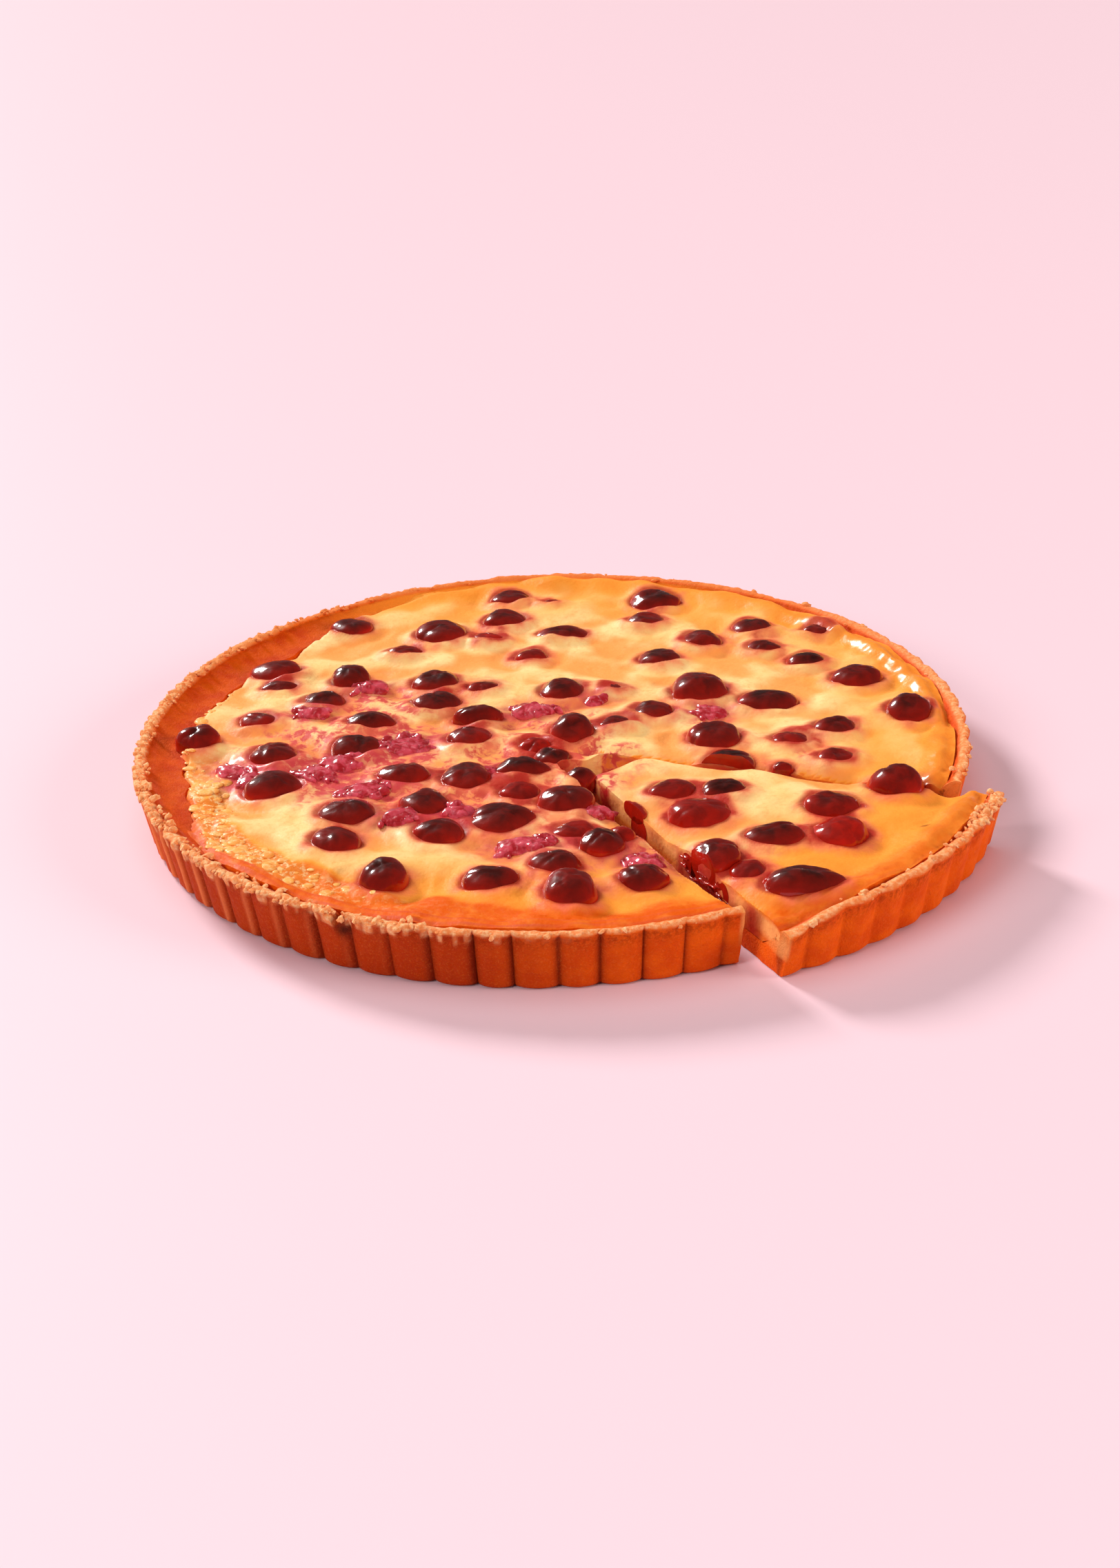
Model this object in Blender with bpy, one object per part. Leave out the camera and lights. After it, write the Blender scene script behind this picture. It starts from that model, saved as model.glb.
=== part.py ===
"""A cherry custard tart in a fluted crust, with one slice drawn a little way out of its notch.

Metres, +Z up. The origin is the centre of the whole tart on its underside.
"""

import math

import bmesh
import bpy

MM = 0.001
GAP = 0.3 * MM  # kept between pieces that touch
MERGE = 0.001 * MM

# Driving sizes of the whole tart
RIM_RADIUS = 140 * MM
BASE_RADIUS = 136.5 * MM
RIM_HEIGHT = 20.7 * MM
RIM_THICKNESS = 5 * MM
RIM_CROWN = 0.9 * MM
RIM_UNEVEN = 0.7 * MM  # the pressed edge rises and falls by about this much
RIM_WAVES = ((5, 0.5), (13, 0.3), (29, 0.2))  # how often it does so going round, and its share
WALL_FOOT_RADIUS = 131 * MM  # where the inner wall meets the floor of the crust
FLOOR_THICKNESS = 6.2 * MM
FLUTES = 72
STEPS_PER_FLUTE = 3
FLUTE_DEPTH = 2.2 * MM
FLUTE_FULLNESS = 0.5  # under 1 makes round swells and narrow grooves

# Custard: its level at the centre, how it leans, swells and climbs the rim
CUSTARD_LEVEL = 16.4 * MM
CUSTARD_LEAN = 0.9 * MM
CUSTARD_SWELL = 0.5 * MM
CUSTARD_SWELL_LENGTH = (103 * MM, 119 * MM)  # from crest to crest along X and Y
CUSTARD_CLIMB = 1.0 * MM
CLIMB_POWER = 14  # high, so that it climbs only close to the rim
CUSTARD_STEPS = 72
CUSTARD_RINGS = (1.0, 0.88, 0.66, 0.36)  # shares of the custard's radius

# The cut slice, an eighth of the tart with a blunt tip, and how far it is drawn out
TIP_LEFT = (1 * MM, -29 * MM)
TIP_RIGHT = (18.5 * MM, -21 * MM)
CUT_LEFT = math.radians(-62.8)
CUT_RIGHT = math.radians(-17.5)
CUT_REACH = 220 * MM
SLICE_SHIFT = (11.5 * MM, -8 * MM)

# Cherries
CHERRY_SIDES = 8
CHERRY_RINGS = 4
SUNK = 2 * MM  # the widest part of a cherry lies this far under the custard
CHERRY_UNDER = 6 * MM  # and its underside this far below that

# Each cherry in millimetres: its x and y in the uncut tart, its length along X,
# its width along Y, and how far it stands out of the custard.
PIE_CHERRIES = (
    (-76, 95, 17, 16, 4), (-100, 55, 20, 18, 5), (-72, 43, 16, 17, 7), (-80, 26, 17, 14, 4),
    (-119, -4, 16, 16, 7), (-92, -17, 18, 17, 5), (-62, 7, 19, 12, 5), (-65, -13, 19, 17, 5),
    (-15, 119, 17, 15, 4), (-17, 97, 19, 17, 5), (5, 82, 21, 14, 4), (-41, 84, 22, 20, 6),
    (-41, 40, 19, 17, 5), (-40, 22, 19, 16, 5), (-28, -8, 17, 16, 5), (4, 28, 18, 17, 5),
    (7, -6, 16, 18, 7), (-10, -33, 20, 12, 5), (-28, -38, 19, 18, 5), (-48, -36, 19, 14, 5),
    (42, 112, 21, 18, 5), (37, 92, 17, 16, 4), (77, 81, 17, 16, 4), (57, 70, 17, 15, 4),
    (40, 55, 17, 16, 4), (52, 24, 22, 20, 8), (35, 9, 17, 15, 4), (75, 14, 22, 16, 5),
    (54, -14, 20, 18, 6), (95, -9, 16, 14, 4), (57, -32, 18, 15, 4), (93, 48, 16, 14, 4),
    (108, 30, 20, 18, 6), (121, 0, 17, 18, 7), (-90, -40, 21, 18, 6), (-64, -61, 21, 17, 6),
    (-40, -57, 18, 17, 5), (-66, -79, 17, 15, 5), (-50, -102, 15, 16, 7), (4, -56, 19, 17, 6),
    (-16, -67, 22, 18, 5), (-35, -75, 17, 14, 5), (14, -85, 15, 13, 5), (-19, -105, 18, 14, 5),
    (0, -97, 17, 14, 5), (4, -114, 17, 17, 7), (25, -107, 16, 14, 5),
)
SLICE_CHERRIES = (
    (26, -43, 17, 13, 4), (42, -45, 17, 13, 4), (33, -59, 21, 17, 5), (54, -76, 20, 14, 5),
    (74, -58, 19, 15, 5), (74, -75, 18, 16, 5), (36, -87, 16, 16, 6), (59, -105, 26, 15, 7),
)
EDGE_CHERRY = (96, -45, 19, 17, 8)  # rides on the slice's far edge and leans over the cut

CRUST_COLOUR = (0.63, 0.19, 0.035, 1)
CUSTARD_COLOUR = (0.92, 0.58, 0.22, 1)
CHERRY_COLOUR = (0.12, 0.006, 0.008, 1)


def clear_scene():
    for obj in list(bpy.data.objects):
        bpy.data.objects.remove(obj, do_unlink=True)


def new_collection(name, shown=True):
    collection = bpy.data.collections.new(name)
    bpy.context.scene.collection.children.link(collection)
    collection.hide_render = not shown
    return collection


def new_material(name, colour, roughness):
    material = bpy.data.materials.new(name)
    material.use_nodes = True
    shader = material.node_tree.nodes["Principled BSDF"]
    shader.inputs["Base Color"].default_value = colour
    shader.inputs["Roughness"].default_value = roughness
    shader.inputs["Metallic"].default_value = 0
    return material


def mesh_from(bm, name):
    bmesh.ops.recalc_face_normals(bm, faces=bm.faces)
    mesh = bpy.data.meshes.new(name)
    bm.to_mesh(mesh)
    bm.free()
    return mesh


def add_piece(name, mesh, collection, material, parent=None):
    piece = bpy.data.objects.new(name, mesh)
    collection.objects.link(piece)
    piece.data.materials.append(material)
    piece.data.shade_smooth()
    piece.data.set_sharp_from_angle(angle=math.radians(40))
    piece.parent = parent
    return piece


def add_cutter(name, mesh, collection, parent=None):
    cutter = bpy.data.objects.new(name, mesh)
    collection.objects.link(cutter)
    cutter.parent = parent
    cutter.hide_render = True
    cutter.display_type = "WIRE"
    return cutter


def cut(piece, operation, cutter=None, cutters=None):
    """An exact Boolean on a piece, with one cutter or with a collection of them."""
    modifier = piece.modifiers.new(operation.title(), "BOOLEAN")
    modifier.solver = "EXACT"
    modifier.operation = operation
    if cutters:
        modifier.operand_type = "COLLECTION"
        modifier.collection = cutters
    else:
        modifier.object = cutter


def custard_height(x, y):
    """The baked top: it leans a little to the front, swells, and climbs where it meets the rim."""
    lean = -CUSTARD_LEAN * y / RIM_RADIUS
    along_x, along_y = (math.tau / length for length in CUSTARD_SWELL_LENGTH)
    swell = CUSTARD_SWELL * math.sin(along_x * x + 1) * math.sin(along_y * y + 1)
    climb = CUSTARD_CLIMB * (math.hypot(x, y) / WALL_FOOT_RADIUS) ** CLIMB_POWER
    return CUSTARD_LEVEL + lean + swell + climb


def inner_wall_radius(z):
    """The inner face of the crust wall at a height, before the gap to the custard."""
    top = RIM_RADIUS - RIM_THICKNESS
    share = (z - FLOOR_THICKNESS) / (RIM_HEIGHT - FLOOR_THICKNESS)
    return WALL_FOOT_RADIUS + (top - WALL_FOOT_RADIUS) * share


def flute(angle):
    """0 on the swell of a flute and 1 in the groove between two."""
    return 1 - abs(math.sin(angle * FLUTES / 2)) ** FLUTE_FULLNESS


def rim_rise(angle):
    """How far the edge stands above or below its usual height, going round."""
    return RIM_UNEVEN * sum(share * math.sin(times * angle) for times, share in RIM_WAVES)


def turned(profile, steps):
    """A profile of (radius, height) points turned about Z into a closed body."""
    bm = bmesh.new()
    points = [bm.verts.new((radius, 0, z)) for radius, z in profile]
    edges = [bm.edges.new(pair) for pair in zip(points, points[1:])]
    bmesh.ops.spin(
        bm, geom=points + edges, axis=(0, 0, 1), cent=(0, 0, 0),
        angle=math.tau, steps=steps, use_merge=True,
    )
    bmesh.ops.remove_doubles(bm, verts=bm.verts, dist=MERGE)
    return bm


def crust_mesh():
    """A turned shell: floor, leaning wall and rounded lip, whose outer side is then fluted."""
    profile = (
        (0, 0),
        (BASE_RADIUS, 0),
        (RIM_RADIUS, RIM_HEIGHT - RIM_CROWN),
        (RIM_RADIUS - RIM_THICKNESS / 2, RIM_HEIGHT),
        (RIM_RADIUS - RIM_THICKNESS, RIM_HEIGHT - RIM_CROWN),
        (WALL_FOOT_RADIUS, FLOOR_THICKNESS),
        (0, FLOOR_THICKNESS),
    )
    bm = turned(profile, FLUTES * STEPS_PER_FLUTE)
    for vert in bm.verts:
        x, y, z = vert.co
        radius, angle = math.hypot(x, y), math.atan2(y, x)
        if radius > BASE_RADIUS - GAP and z < RIM_HEIGHT - RIM_CROWN / 2:
            vert.co.xy *= 1 - FLUTE_DEPTH * flute(angle) / radius
        if z > RIM_HEIGHT / 2:
            vert.co.z += rim_rise(angle)
    return mesh_from(bm, "crust")


def custard_mesh():
    """A turned disc that fills the crust, whose top then takes the custard's height."""
    floor_z = FLOOR_THICKNESS + GAP
    floor_radius = inner_wall_radius(floor_z) - 2 * GAP
    top_radius = inner_wall_radius(CUSTARD_LEVEL) - 2 * GAP
    top = [(top_radius * share, CUSTARD_LEVEL) for share in CUSTARD_RINGS]
    bm = turned([(0, floor_z), (floor_radius, floor_z), *top, (0, CUSTARD_LEVEL)], CUSTARD_STEPS)
    for vert in bm.verts:
        if vert.co.z > floor_z + GAP:
            vert.co.z = custard_height(vert.co.x, vert.co.y)
    return mesh_from(bm, "custard")


def wedge_mesh():
    """The plan of the slice, standing taller than the tart: a blunt tip and two straight cuts."""
    def reach(start, bearing):
        return start[0] + CUT_REACH * math.cos(bearing), start[1] + CUT_REACH * math.sin(bearing)

    outline = (TIP_LEFT, reach(TIP_LEFT, CUT_LEFT), reach(TIP_RIGHT, CUT_RIGHT), TIP_RIGHT)
    bm = bmesh.new()
    base = bm.faces.new([bm.verts.new((x, y, -RIM_HEIGHT)) for x, y in outline])
    grown = bmesh.ops.extrude_face_region(bm, geom=[base])
    lifted = [item for item in grown["geom"] if isinstance(item, bmesh.types.BMVert)]
    bmesh.ops.translate(bm, verts=lifted, vec=(0, 0, 4 * RIM_HEIGHT))
    return mesh_from(bm, "wedge")


def cherry_mesh(cherry, margin=0.0):
    """A cherry as a squat ball in its place, grown by a margin for the pocket that holds it."""
    x, y, length, width, proud = (value * MM for value in cherry)
    middle = custard_height(x, y) - SUNK
    bm = bmesh.new()
    bmesh.ops.create_uvsphere(bm, u_segments=CHERRY_SIDES, v_segments=CHERRY_RINGS, radius=1)
    for vert in bm.verts:
        half_height = (proud + SUNK if vert.co.z > 0 else CHERRY_UNDER) + margin
        vert.co.x = x + vert.co.x * (length / 2 + margin)
        vert.co.y = y + vert.co.y * (width / 2 + margin)
        vert.co.z = middle + vert.co.z * half_height
    return mesh_from(bm, "cherry")


def on_cut(cherry):
    """Whether a cherry reaches over one of the two straight cuts."""
    x, y, length, width, _ = (value * MM for value in cherry)
    for (start_x, start_y), bearing in ((TIP_LEFT, CUT_LEFT), (TIP_RIGHT, CUT_RIGHT)):
        cosine, sine = math.cos(bearing), math.sin(bearing)
        along = (x - start_x) * cosine + (y - start_y) * sine
        away = abs((y - start_y) * cosine - (x - start_x) * sine)
        if along > 0 and away < math.hypot(length / 2 * sine, width / 2 * cosine):
            return True
    return False


def add_side(side, cherries, first, place, keep, shared):
    """One side of the cut: its crust, its custard with a pocket for each cherry, and the cherries."""
    tart, helpers, materials = shared["tart"], shared["helpers"], shared["materials"]
    wedge = add_cutter(f"{side}_wedge", shared["wedge"], helpers, place)
    pockets = new_collection(f"{side}_pockets", shown=False)
    crust = add_piece(f"{side}_crust", shared["crust"].copy(), tart, materials["crust"], place)
    cut(crust, keep, wedge)
    custard = add_piece(f"{side}_custard", shared["custard"].copy(), tart, materials["custard"], place)
    cut(custard, keep, wedge)
    for number, cherry in enumerate(cherries, first):
        name = f"cherry_{number:02d}"
        add_cutter(f"{name}_pocket", cherry_mesh(cherry, GAP), pockets, place)
        piece = add_piece(name, cherry_mesh(cherry), tart, materials["cherry"], place)
        if on_cut(cherry) and cherry is not EDGE_CHERRY:
            cut(piece, keep, wedge)
    cut(custard, "DIFFERENCE", cutters=pockets)
    return pockets


def build():
    clear_scene()
    shared = {
        "tart": new_collection("cherry_tart"),
        "helpers": new_collection("cutters", shown=False),
        "materials": {
            "crust": new_material("baked_crust", CRUST_COLOUR, 0.75),
            "custard": new_material("baked_custard", CUSTARD_COLOUR, 0.4),
            "cherry": new_material("cooked_cherry", CHERRY_COLOUR, 0.15),
        },
        "crust": crust_mesh(),
        "custard": custard_mesh(),
        "wedge": wedge_mesh(),
    }
    slice_place = bpy.data.objects.new("slice_place", None)
    slice_place.location = (*SLICE_SHIFT, 0)
    shared["tart"].objects.link(slice_place)
    pie_pockets = add_side("pie", PIE_CHERRIES, 1, None, "DIFFERENCE", shared)
    slice_cherries = (*SLICE_CHERRIES, EDGE_CHERRY)
    add_side("slice", slice_cherries, len(PIE_CHERRIES) + 1, slice_place, "INTERSECT", shared)
    # The leaning cherry also presses a hollow into the custard across the cut
    add_cutter("leaning_pocket", cherry_mesh(EDGE_CHERRY, GAP), pie_pockets, slice_place)


build()
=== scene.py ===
# Cherry custard tart in a fluted crust, with one slice drawn a little way out.
# Sizes are in millimetres until a mesh is made, and +Z is up.
import math
import random

import bmesh
import bpy
import numpy as np
from mathutils import Matrix, Vector, noise


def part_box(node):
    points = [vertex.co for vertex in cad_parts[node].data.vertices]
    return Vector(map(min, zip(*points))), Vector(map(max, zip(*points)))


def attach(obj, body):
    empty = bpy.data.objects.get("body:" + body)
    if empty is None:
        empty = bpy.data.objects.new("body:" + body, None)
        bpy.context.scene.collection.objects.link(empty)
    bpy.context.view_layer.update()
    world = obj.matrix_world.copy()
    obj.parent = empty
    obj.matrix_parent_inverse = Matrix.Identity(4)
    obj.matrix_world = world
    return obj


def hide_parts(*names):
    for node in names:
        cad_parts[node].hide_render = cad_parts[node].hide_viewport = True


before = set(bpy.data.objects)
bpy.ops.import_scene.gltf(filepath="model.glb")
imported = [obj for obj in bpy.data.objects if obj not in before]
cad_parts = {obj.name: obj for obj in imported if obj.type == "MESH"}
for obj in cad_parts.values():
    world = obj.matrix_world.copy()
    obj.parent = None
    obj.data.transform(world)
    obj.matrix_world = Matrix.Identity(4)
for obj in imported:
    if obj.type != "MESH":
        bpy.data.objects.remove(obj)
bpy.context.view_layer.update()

mm = 0.001


# ---------- small helpers

def tint(red, green, blue):
    # a screen colour from 0 to 255 as the linear colour a shader takes
    def straight(value):
        value /= 255
        return value / 12.92 if value <= 0.04045 else ((value + 0.055) / 1.055) ** 2.4
    return straight(red), straight(green), straight(blue), 1


def eased(low, high, value):
    share = np.clip((value - low) / (high - low), 0, 1)
    return share * share * (3 - 2 * share)


def around(bearing, centre, spread):
    # 1 at one bearing, falling away on both sides of it (degrees)
    apart = (bearing - centre + 180) % 360 - 180
    return np.exp(-(apart / spread) ** 2)


def lumps(x, y, z, size, seed=0):
    # soft noise, roughly -1 to 1, with lumps of about that size
    lift = seed * 17.31
    return np.array([
        noise.noise(Vector((a / size + lift, b / size - lift, c / size)))
        for a, b, c in zip(x, y, z)
    ]) * 1.6


def bearingOf(x, y):
    return np.degrees(np.arctan2(y, x))


def meshPoints(mesh):
    points = np.empty(len(mesh.vertices) * 3)
    mesh.vertices.foreach_get("co", points)
    return points.reshape(-1, 3) / mm


def setPoints(mesh, points):
    mesh.vertices.foreach_set("co", (np.asarray(points) * mm).ravel())
    mesh.update()


def writeLayer(mesh, name, values):
    # one number a point, which the material of the piece reads
    layer = mesh.attributes.get(name) or mesh.attributes.new(name, "FLOAT", "POINT")
    layer.data.foreach_set("value", np.asarray(values, np.float32))


def newPiece(name, points, faces, material=None):
    mesh = bpy.data.meshes.new(name)
    mesh.from_pydata([tuple(p) for p in np.asarray(points) * mm], [], faces)
    mesh.validate()
    mesh.shade_smooth()
    piece = bpy.data.objects.new(name, mesh)
    bpy.context.scene.collection.objects.link(piece)
    if material:
        mesh.materials.append(material)
    return piece


def gridFaces(rows, columns):
    # quads between rows of points, where each row closes on itself
    faces = []
    for row in range(rows - 1):
        for column in range(columns):
            nextOne = (column + 1) % columns
            faces.append((
                row * columns + column, row * columns + nextOne,
                (row + 1) * columns + nextOne, (row + 1) * columns + column,
            ))
    return faces


def faceOut(piece):
    bm = bmesh.new()
    bm.from_mesh(piece.data)
    bmesh.ops.recalc_face_normals(bm, faces=bm.faces)
    bm.to_mesh(piece.data)
    bm.free()


def cutPiece(piece, cutter, operation):
    modifier = piece.modifiers.new("cut", "BOOLEAN")
    modifier.solver = "EXACT"
    modifier.operation = operation
    modifier.object = cutter
    graph = bpy.context.evaluated_depsgraph_get()
    result = bpy.data.meshes.new_from_object(piece.evaluated_get(graph))
    piece.modifiers.clear()
    old = piece.data
    piece.data = result
    bpy.data.meshes.remove(old)
    piece.data.shade_smooth()
    piece.data.set_sharp_from_angle(angle=math.radians(50))


def settle(piece, slotName, *nodes):
    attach(piece, "root")
    if nodes:
        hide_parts(*nodes)


# ---------- node helpers

class Nodes:
    def __init__(self, name):
        self.material = bpy.data.materials.new(name)
        self.material.use_nodes = True
        self.tree = self.material.node_tree
        self.shader = self.tree.nodes["Principled BSDF"]
        self.where = self.add("ShaderNodeTexCoord").outputs["Object"]

    def add(self, kind, **values):
        node = self.tree.nodes.new(kind)
        for key, value in values.items():
            setattr(node, key, value)
        return node

    def link(self, source, target):
        self.tree.links.new(source, target)

    def plug(self, socket, value):
        if isinstance(value, bpy.types.NodeSocket):
            self.link(value, socket)
        else:
            socket.default_value = value

    def layer(self, name):
        return self.add("ShaderNodeAttribute", attribute_name=name).outputs["Fac"]

    def noise(self, size, detail=3, rough=0.55, warp=0.0):
        # size is the lump size in millimetres
        node = self.add("ShaderNodeTexNoise")
        self.link(self.where, node.inputs["Vector"])
        node.inputs["Scale"].default_value = 1 / (size * mm)
        node.inputs["Detail"].default_value = detail
        node.inputs["Roughness"].default_value = rough
        node.inputs["Distortion"].default_value = warp
        return node.outputs["Fac"]

    def cells(self, size, feature="F1", rand=1.0):
        node = self.add("ShaderNodeTexVoronoi", feature=feature)
        self.link(self.where, node.inputs["Vector"])
        node.inputs["Scale"].default_value = 1 / (size * mm)
        node.inputs["Randomness"].default_value = rand
        return node.outputs["Distance"]

    def maths(self, operation, first, second=0.0, clamp=False):
        node = self.add("ShaderNodeMath", operation=operation, use_clamp=clamp)
        self.plug(node.inputs[0], first)
        self.plug(node.inputs[1], second)
        return node.outputs[0]

    def remap(self, value, fromLow, fromHigh, toLow=0.0, toHigh=1.0):
        node = self.add("ShaderNodeMapRange", interpolation_type="SMOOTHSTEP")
        self.plug(node.inputs["Value"], value)
        for key, number in (("From Min", fromLow), ("From Max", fromHigh), ("To Min", toLow), ("To Max", toHigh)):
            node.inputs[key].default_value = number
        return node.outputs["Result"]

    def blend(self, share, first, second, mode="MIX"):
        node = self.add("ShaderNodeMix", data_type="RGBA", blend_type=mode)
        self.plug(node.inputs[0], share)
        self.plug(node.inputs[6], first)
        self.plug(node.inputs[7], second)
        return node.outputs[2]

    def bump(self, height, distance, strength=1.0, under=None):
        node = self.add("ShaderNodeBump")
        self.plug(node.inputs["Height"], height)
        node.inputs["Distance"].default_value = distance * mm
        node.inputs["Strength"].default_value = strength
        if under:
            self.link(under, node.inputs["Normal"])
        return node.outputs["Normal"]

    def finish(self, **values):
        for key, value in values.items():
            self.plug(self.shader.inputs[key.replace("_", " ")], value)
        return self.material


# ---------- the cut: one wedge, and how far the slice stands out of it

cut = {
    "tipLeft": (1, -29),
    "tipRight": (18.5, -21),
    "leftBearing": -62.8,
    "rightBearing": -17.5,
    "reach": 175,
    "step": 1.6,
    "waver": 0.35,  # how unevenly the knife went
    "shift": (11.5, -8),
    "stain": (43.7, -112),  # juice on the slice's left face
    "low": -6,
    "high": 34,
}


def knifeWall(start, bearing):
    # points along one cut, from the tip outwards
    steps = int(cut["reach"] / cut["step"])
    way = math.radians(bearing)
    return [
        (start[0] + math.cos(way) * cut["step"] * i, start[1] + math.sin(way) * cut["step"] * i)
        for i in range(steps)
    ]


def makeWedge():
    left = knifeWall(cut["tipLeft"], cut["leftBearing"])
    right = knifeWall(cut["tipRight"], cut["rightBearing"])
    between = [
        tuple(np.array(cut["tipRight"]) + (np.array(cut["tipLeft"]) - np.array(cut["tipRight"])) * share)
        for share in np.linspace(0, 1, 13)[1:-1]
    ]
    outline = np.array(left + right[::-1] + between)
    levels = np.arange(cut["low"], cut["high"], cut["step"])
    middle = outline.mean(axis=0)
    rows = []
    for level in levels:
        height = np.full(len(outline), level)
        away = outline - middle
        away /= np.linalg.norm(away, axis=1)[:, None]
        waver = cut["waver"] * (lumps(*outline.T, height, 7, 3) + 0.45 * lumps(*outline.T, height, 2.2, 4))
        rows.append(np.column_stack([outline + away * waver[:, None], height]))
    count = len(outline)
    faces = gridFaces(len(levels), count)
    faces.append(tuple(range(count))[::-1])
    faces.append(tuple(range((len(levels) - 1) * count, len(levels) * count)))
    wedge = newPiece("wedge", np.vstack(rows), faces)
    faceOut(wedge)
    return wedge


def cutSides(shift=(0, 0)):
    # each cut as a point on it and the way out of the slice
    leftWay, rightWay = math.radians(cut["leftBearing"]), math.radians(cut["rightBearing"])
    move = np.array(shift)
    return (
        (np.array(cut["tipLeft"]) + move, np.array((math.sin(leftWay), -math.cos(leftWay)))),
        (np.array(cut["tipRight"]) + move, np.array((-math.sin(rightWay), math.cos(rightWay)))),
    )


def offSlice(x, y, shift=(0, 0)):
    # how far a point is outside the wedge, negative inside it
    far = [(x - p[0]) * n[0] + (y - p[1]) * n[1] for p, n in cutSides(shift)]
    return np.maximum(*far)


# ---------- the cherries' places

pieCherries = 47  # the rest stand on the slice

# Those the knife went through: their whole shape as x, y, length and width
cutThrough = {
    "cherry_31": (57, -32, 18, 15),
    "cherry_54": (47.5, -95, 16, 16),
}

# Small or deeply sunk ones beside them: x, y, length, width, how proud, how red
sunkCherries = [
    (1, 113, 9, 8, 2.4, 0.5), (22, 29, 10, 8, 2, 0.5), (9, -37, 10, 9, 3, 0.2), (74, -37, 8, 6, 2, 0.4),
    (20, -79, 10, 9, 3, 0.8), (-6, -15, 12, 11, 3, 0.9), (0, -23, 13, 12, 3, 0.0), (56, -103, 12, 12, 3, 0.6),
    (-24, 34, 13, 11, 3, 0.4), (-7, 62, 14, 12, 3, 0.8), (22, -1, 14, 12, 3, 0.3), (101, 76, 14, 12, 3, 0.3),
    (-101, 12, 14, 12, 3, 0.5), (92, -31, 14, 12, 3, 0.5), (-23, 79, 14, 12, 3, 1.0), (79, -17, 15, 12, 3, 0.6),
    (-11, -48, 15, 13, 3, 0.7), (-54, 68, 15, 12, 3, 0.4), (79, 62, 15, 12, 3, 0.2), (-97, 40, 15, 10, 3, 0.2),
    (6, -76, 15, 13, 3, 0.6), (-25, 8, 19, 11, 6, 0.1),
]

# Torn flesh lying in the custard: x, y, length, width, bearing
tornFlesh = [
    (-64, 36, 14, 10, 10), (-104, -25, 17, 10, -30), (-83, 15, 14, 8, 0), (-70, -23, 17, 11, 20),
    (-6, 12, 17, 11, 0), (-49, -11, 20, 15, 15), (54, 7, 15, 10, 0), (-77, -32, 17, 9, -10),
    (-47, -66, 14, 9, 20), (-60, -45, 22, 9, 8), (-29, -63, 12, 9, 0), (-9, -84, 21, 10, 5), (26, -94, 16, 10, -30),
    (-98, -34, 11, 8, 40), (15, 20, 9, 7, 0), (-22, -34, 11, 6, 30), (-92, -18, 9, 5, 10), (14, -62, 11, 6, -20),
]


def custardLevel(x, y):
    # the same top as the solid model has
    r = np.hypot(x, y)
    swell = 0.5 * np.sin(math.tau * x / 103 + 1) * np.sin(math.tau * y / 119 + 1)
    return 16.4 - 0.9 * y / 140 + swell + (r / 131) ** 14


def cherryPlaces():
    # x, y, half length, half width, top, middle height and redness of each cherry that the frame holds
    places = {}
    redder = {"cherry_53": 1.0, "cherry_23": 0.1, "cherry_15": 0.4, "cherry_50": 0.6, "cherry_48": 0.5}
    for name in sorted(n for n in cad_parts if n.startswith("cherry_")):
        low, high = (np.array(corner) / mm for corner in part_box(name))
        number = int(name[-2:])
        shift = cut["shift"] if number > pieCherries else (0, 0)
        if name in cutThrough:
            x, y, length, width = cutThrough[name]
        else:
            x, y = (low[:2] + high[:2]) / 2
            length, width = (high - low)[:2]
        middle = custardLevel(x - shift[0], y - shift[1]) - 2
        tone = redder.get(name, 0.35 * random.Random(number).random())
        places[name] = dict(x=x, y=y, a=length / 2, b=width / 2, top=high[2], middle=middle,
                            red=tone, seed=number, onSlice=number > pieCherries)
    return places


def sunkPlaces():
    places = []
    for number, (x, y, length, width, proud, red) in enumerate(sunkCherries):
        onSlice = offSlice(x, y, cut["shift"]) < 0
        shift = cut["shift"] if onSlice else (0, 0)
        level = custardLevel(x - shift[0], y - shift[1])
        places.append(dict(x=x, y=y, a=length / 2, b=width / 2, top=level + proud, middle=level - 2,
                           red=red, seed=100 + number, onSlice=bool(onSlice)))
    return places


places = cherryPlaces()
sunk = sunkPlaces()
print("places: %d cherries from the frame and %d sunk ones" % (len(places), len(sunk)))


def nearCherries(x, y, onSlice):
    # distance to the nearest cherry's outline, the juice that has reached a point, and how far the custard rose
    near = np.full(len(x), 99.0)
    juice = np.zeros(len(x))
    risen = np.zeros(len(x))
    for place in list(places.values()) + sunk:
        if place["onSlice"] != onSlice and place["seed"] != 56:
            continue
        dx, dy = x - place["x"], y - place["y"]
        far = np.hypot(dx, dy) + 1e-6
        ratio = np.hypot(dx / (place["a"] * 0.97), dy / (place["b"] * 0.97)) + 1e-6
        apart = (1 - 1 / ratio) * far
        near = np.minimum(near, apart)
        juice += (0.55 + 0.45 * place["red"]) * np.exp(-(np.maximum(apart, 0) / 3.7) ** 1.7)
        # most of all at its front
        roll = 0.62 + np.clip(-dy / far + 0.1, 0, 1) * (0.7 + 0.9 * eased(-100, 10, place["y"]))
        risen = np.maximum(risen, roll * np.exp(-((apart - 0.9) / 2.6) ** 2))
    return near, juice, risen


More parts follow.
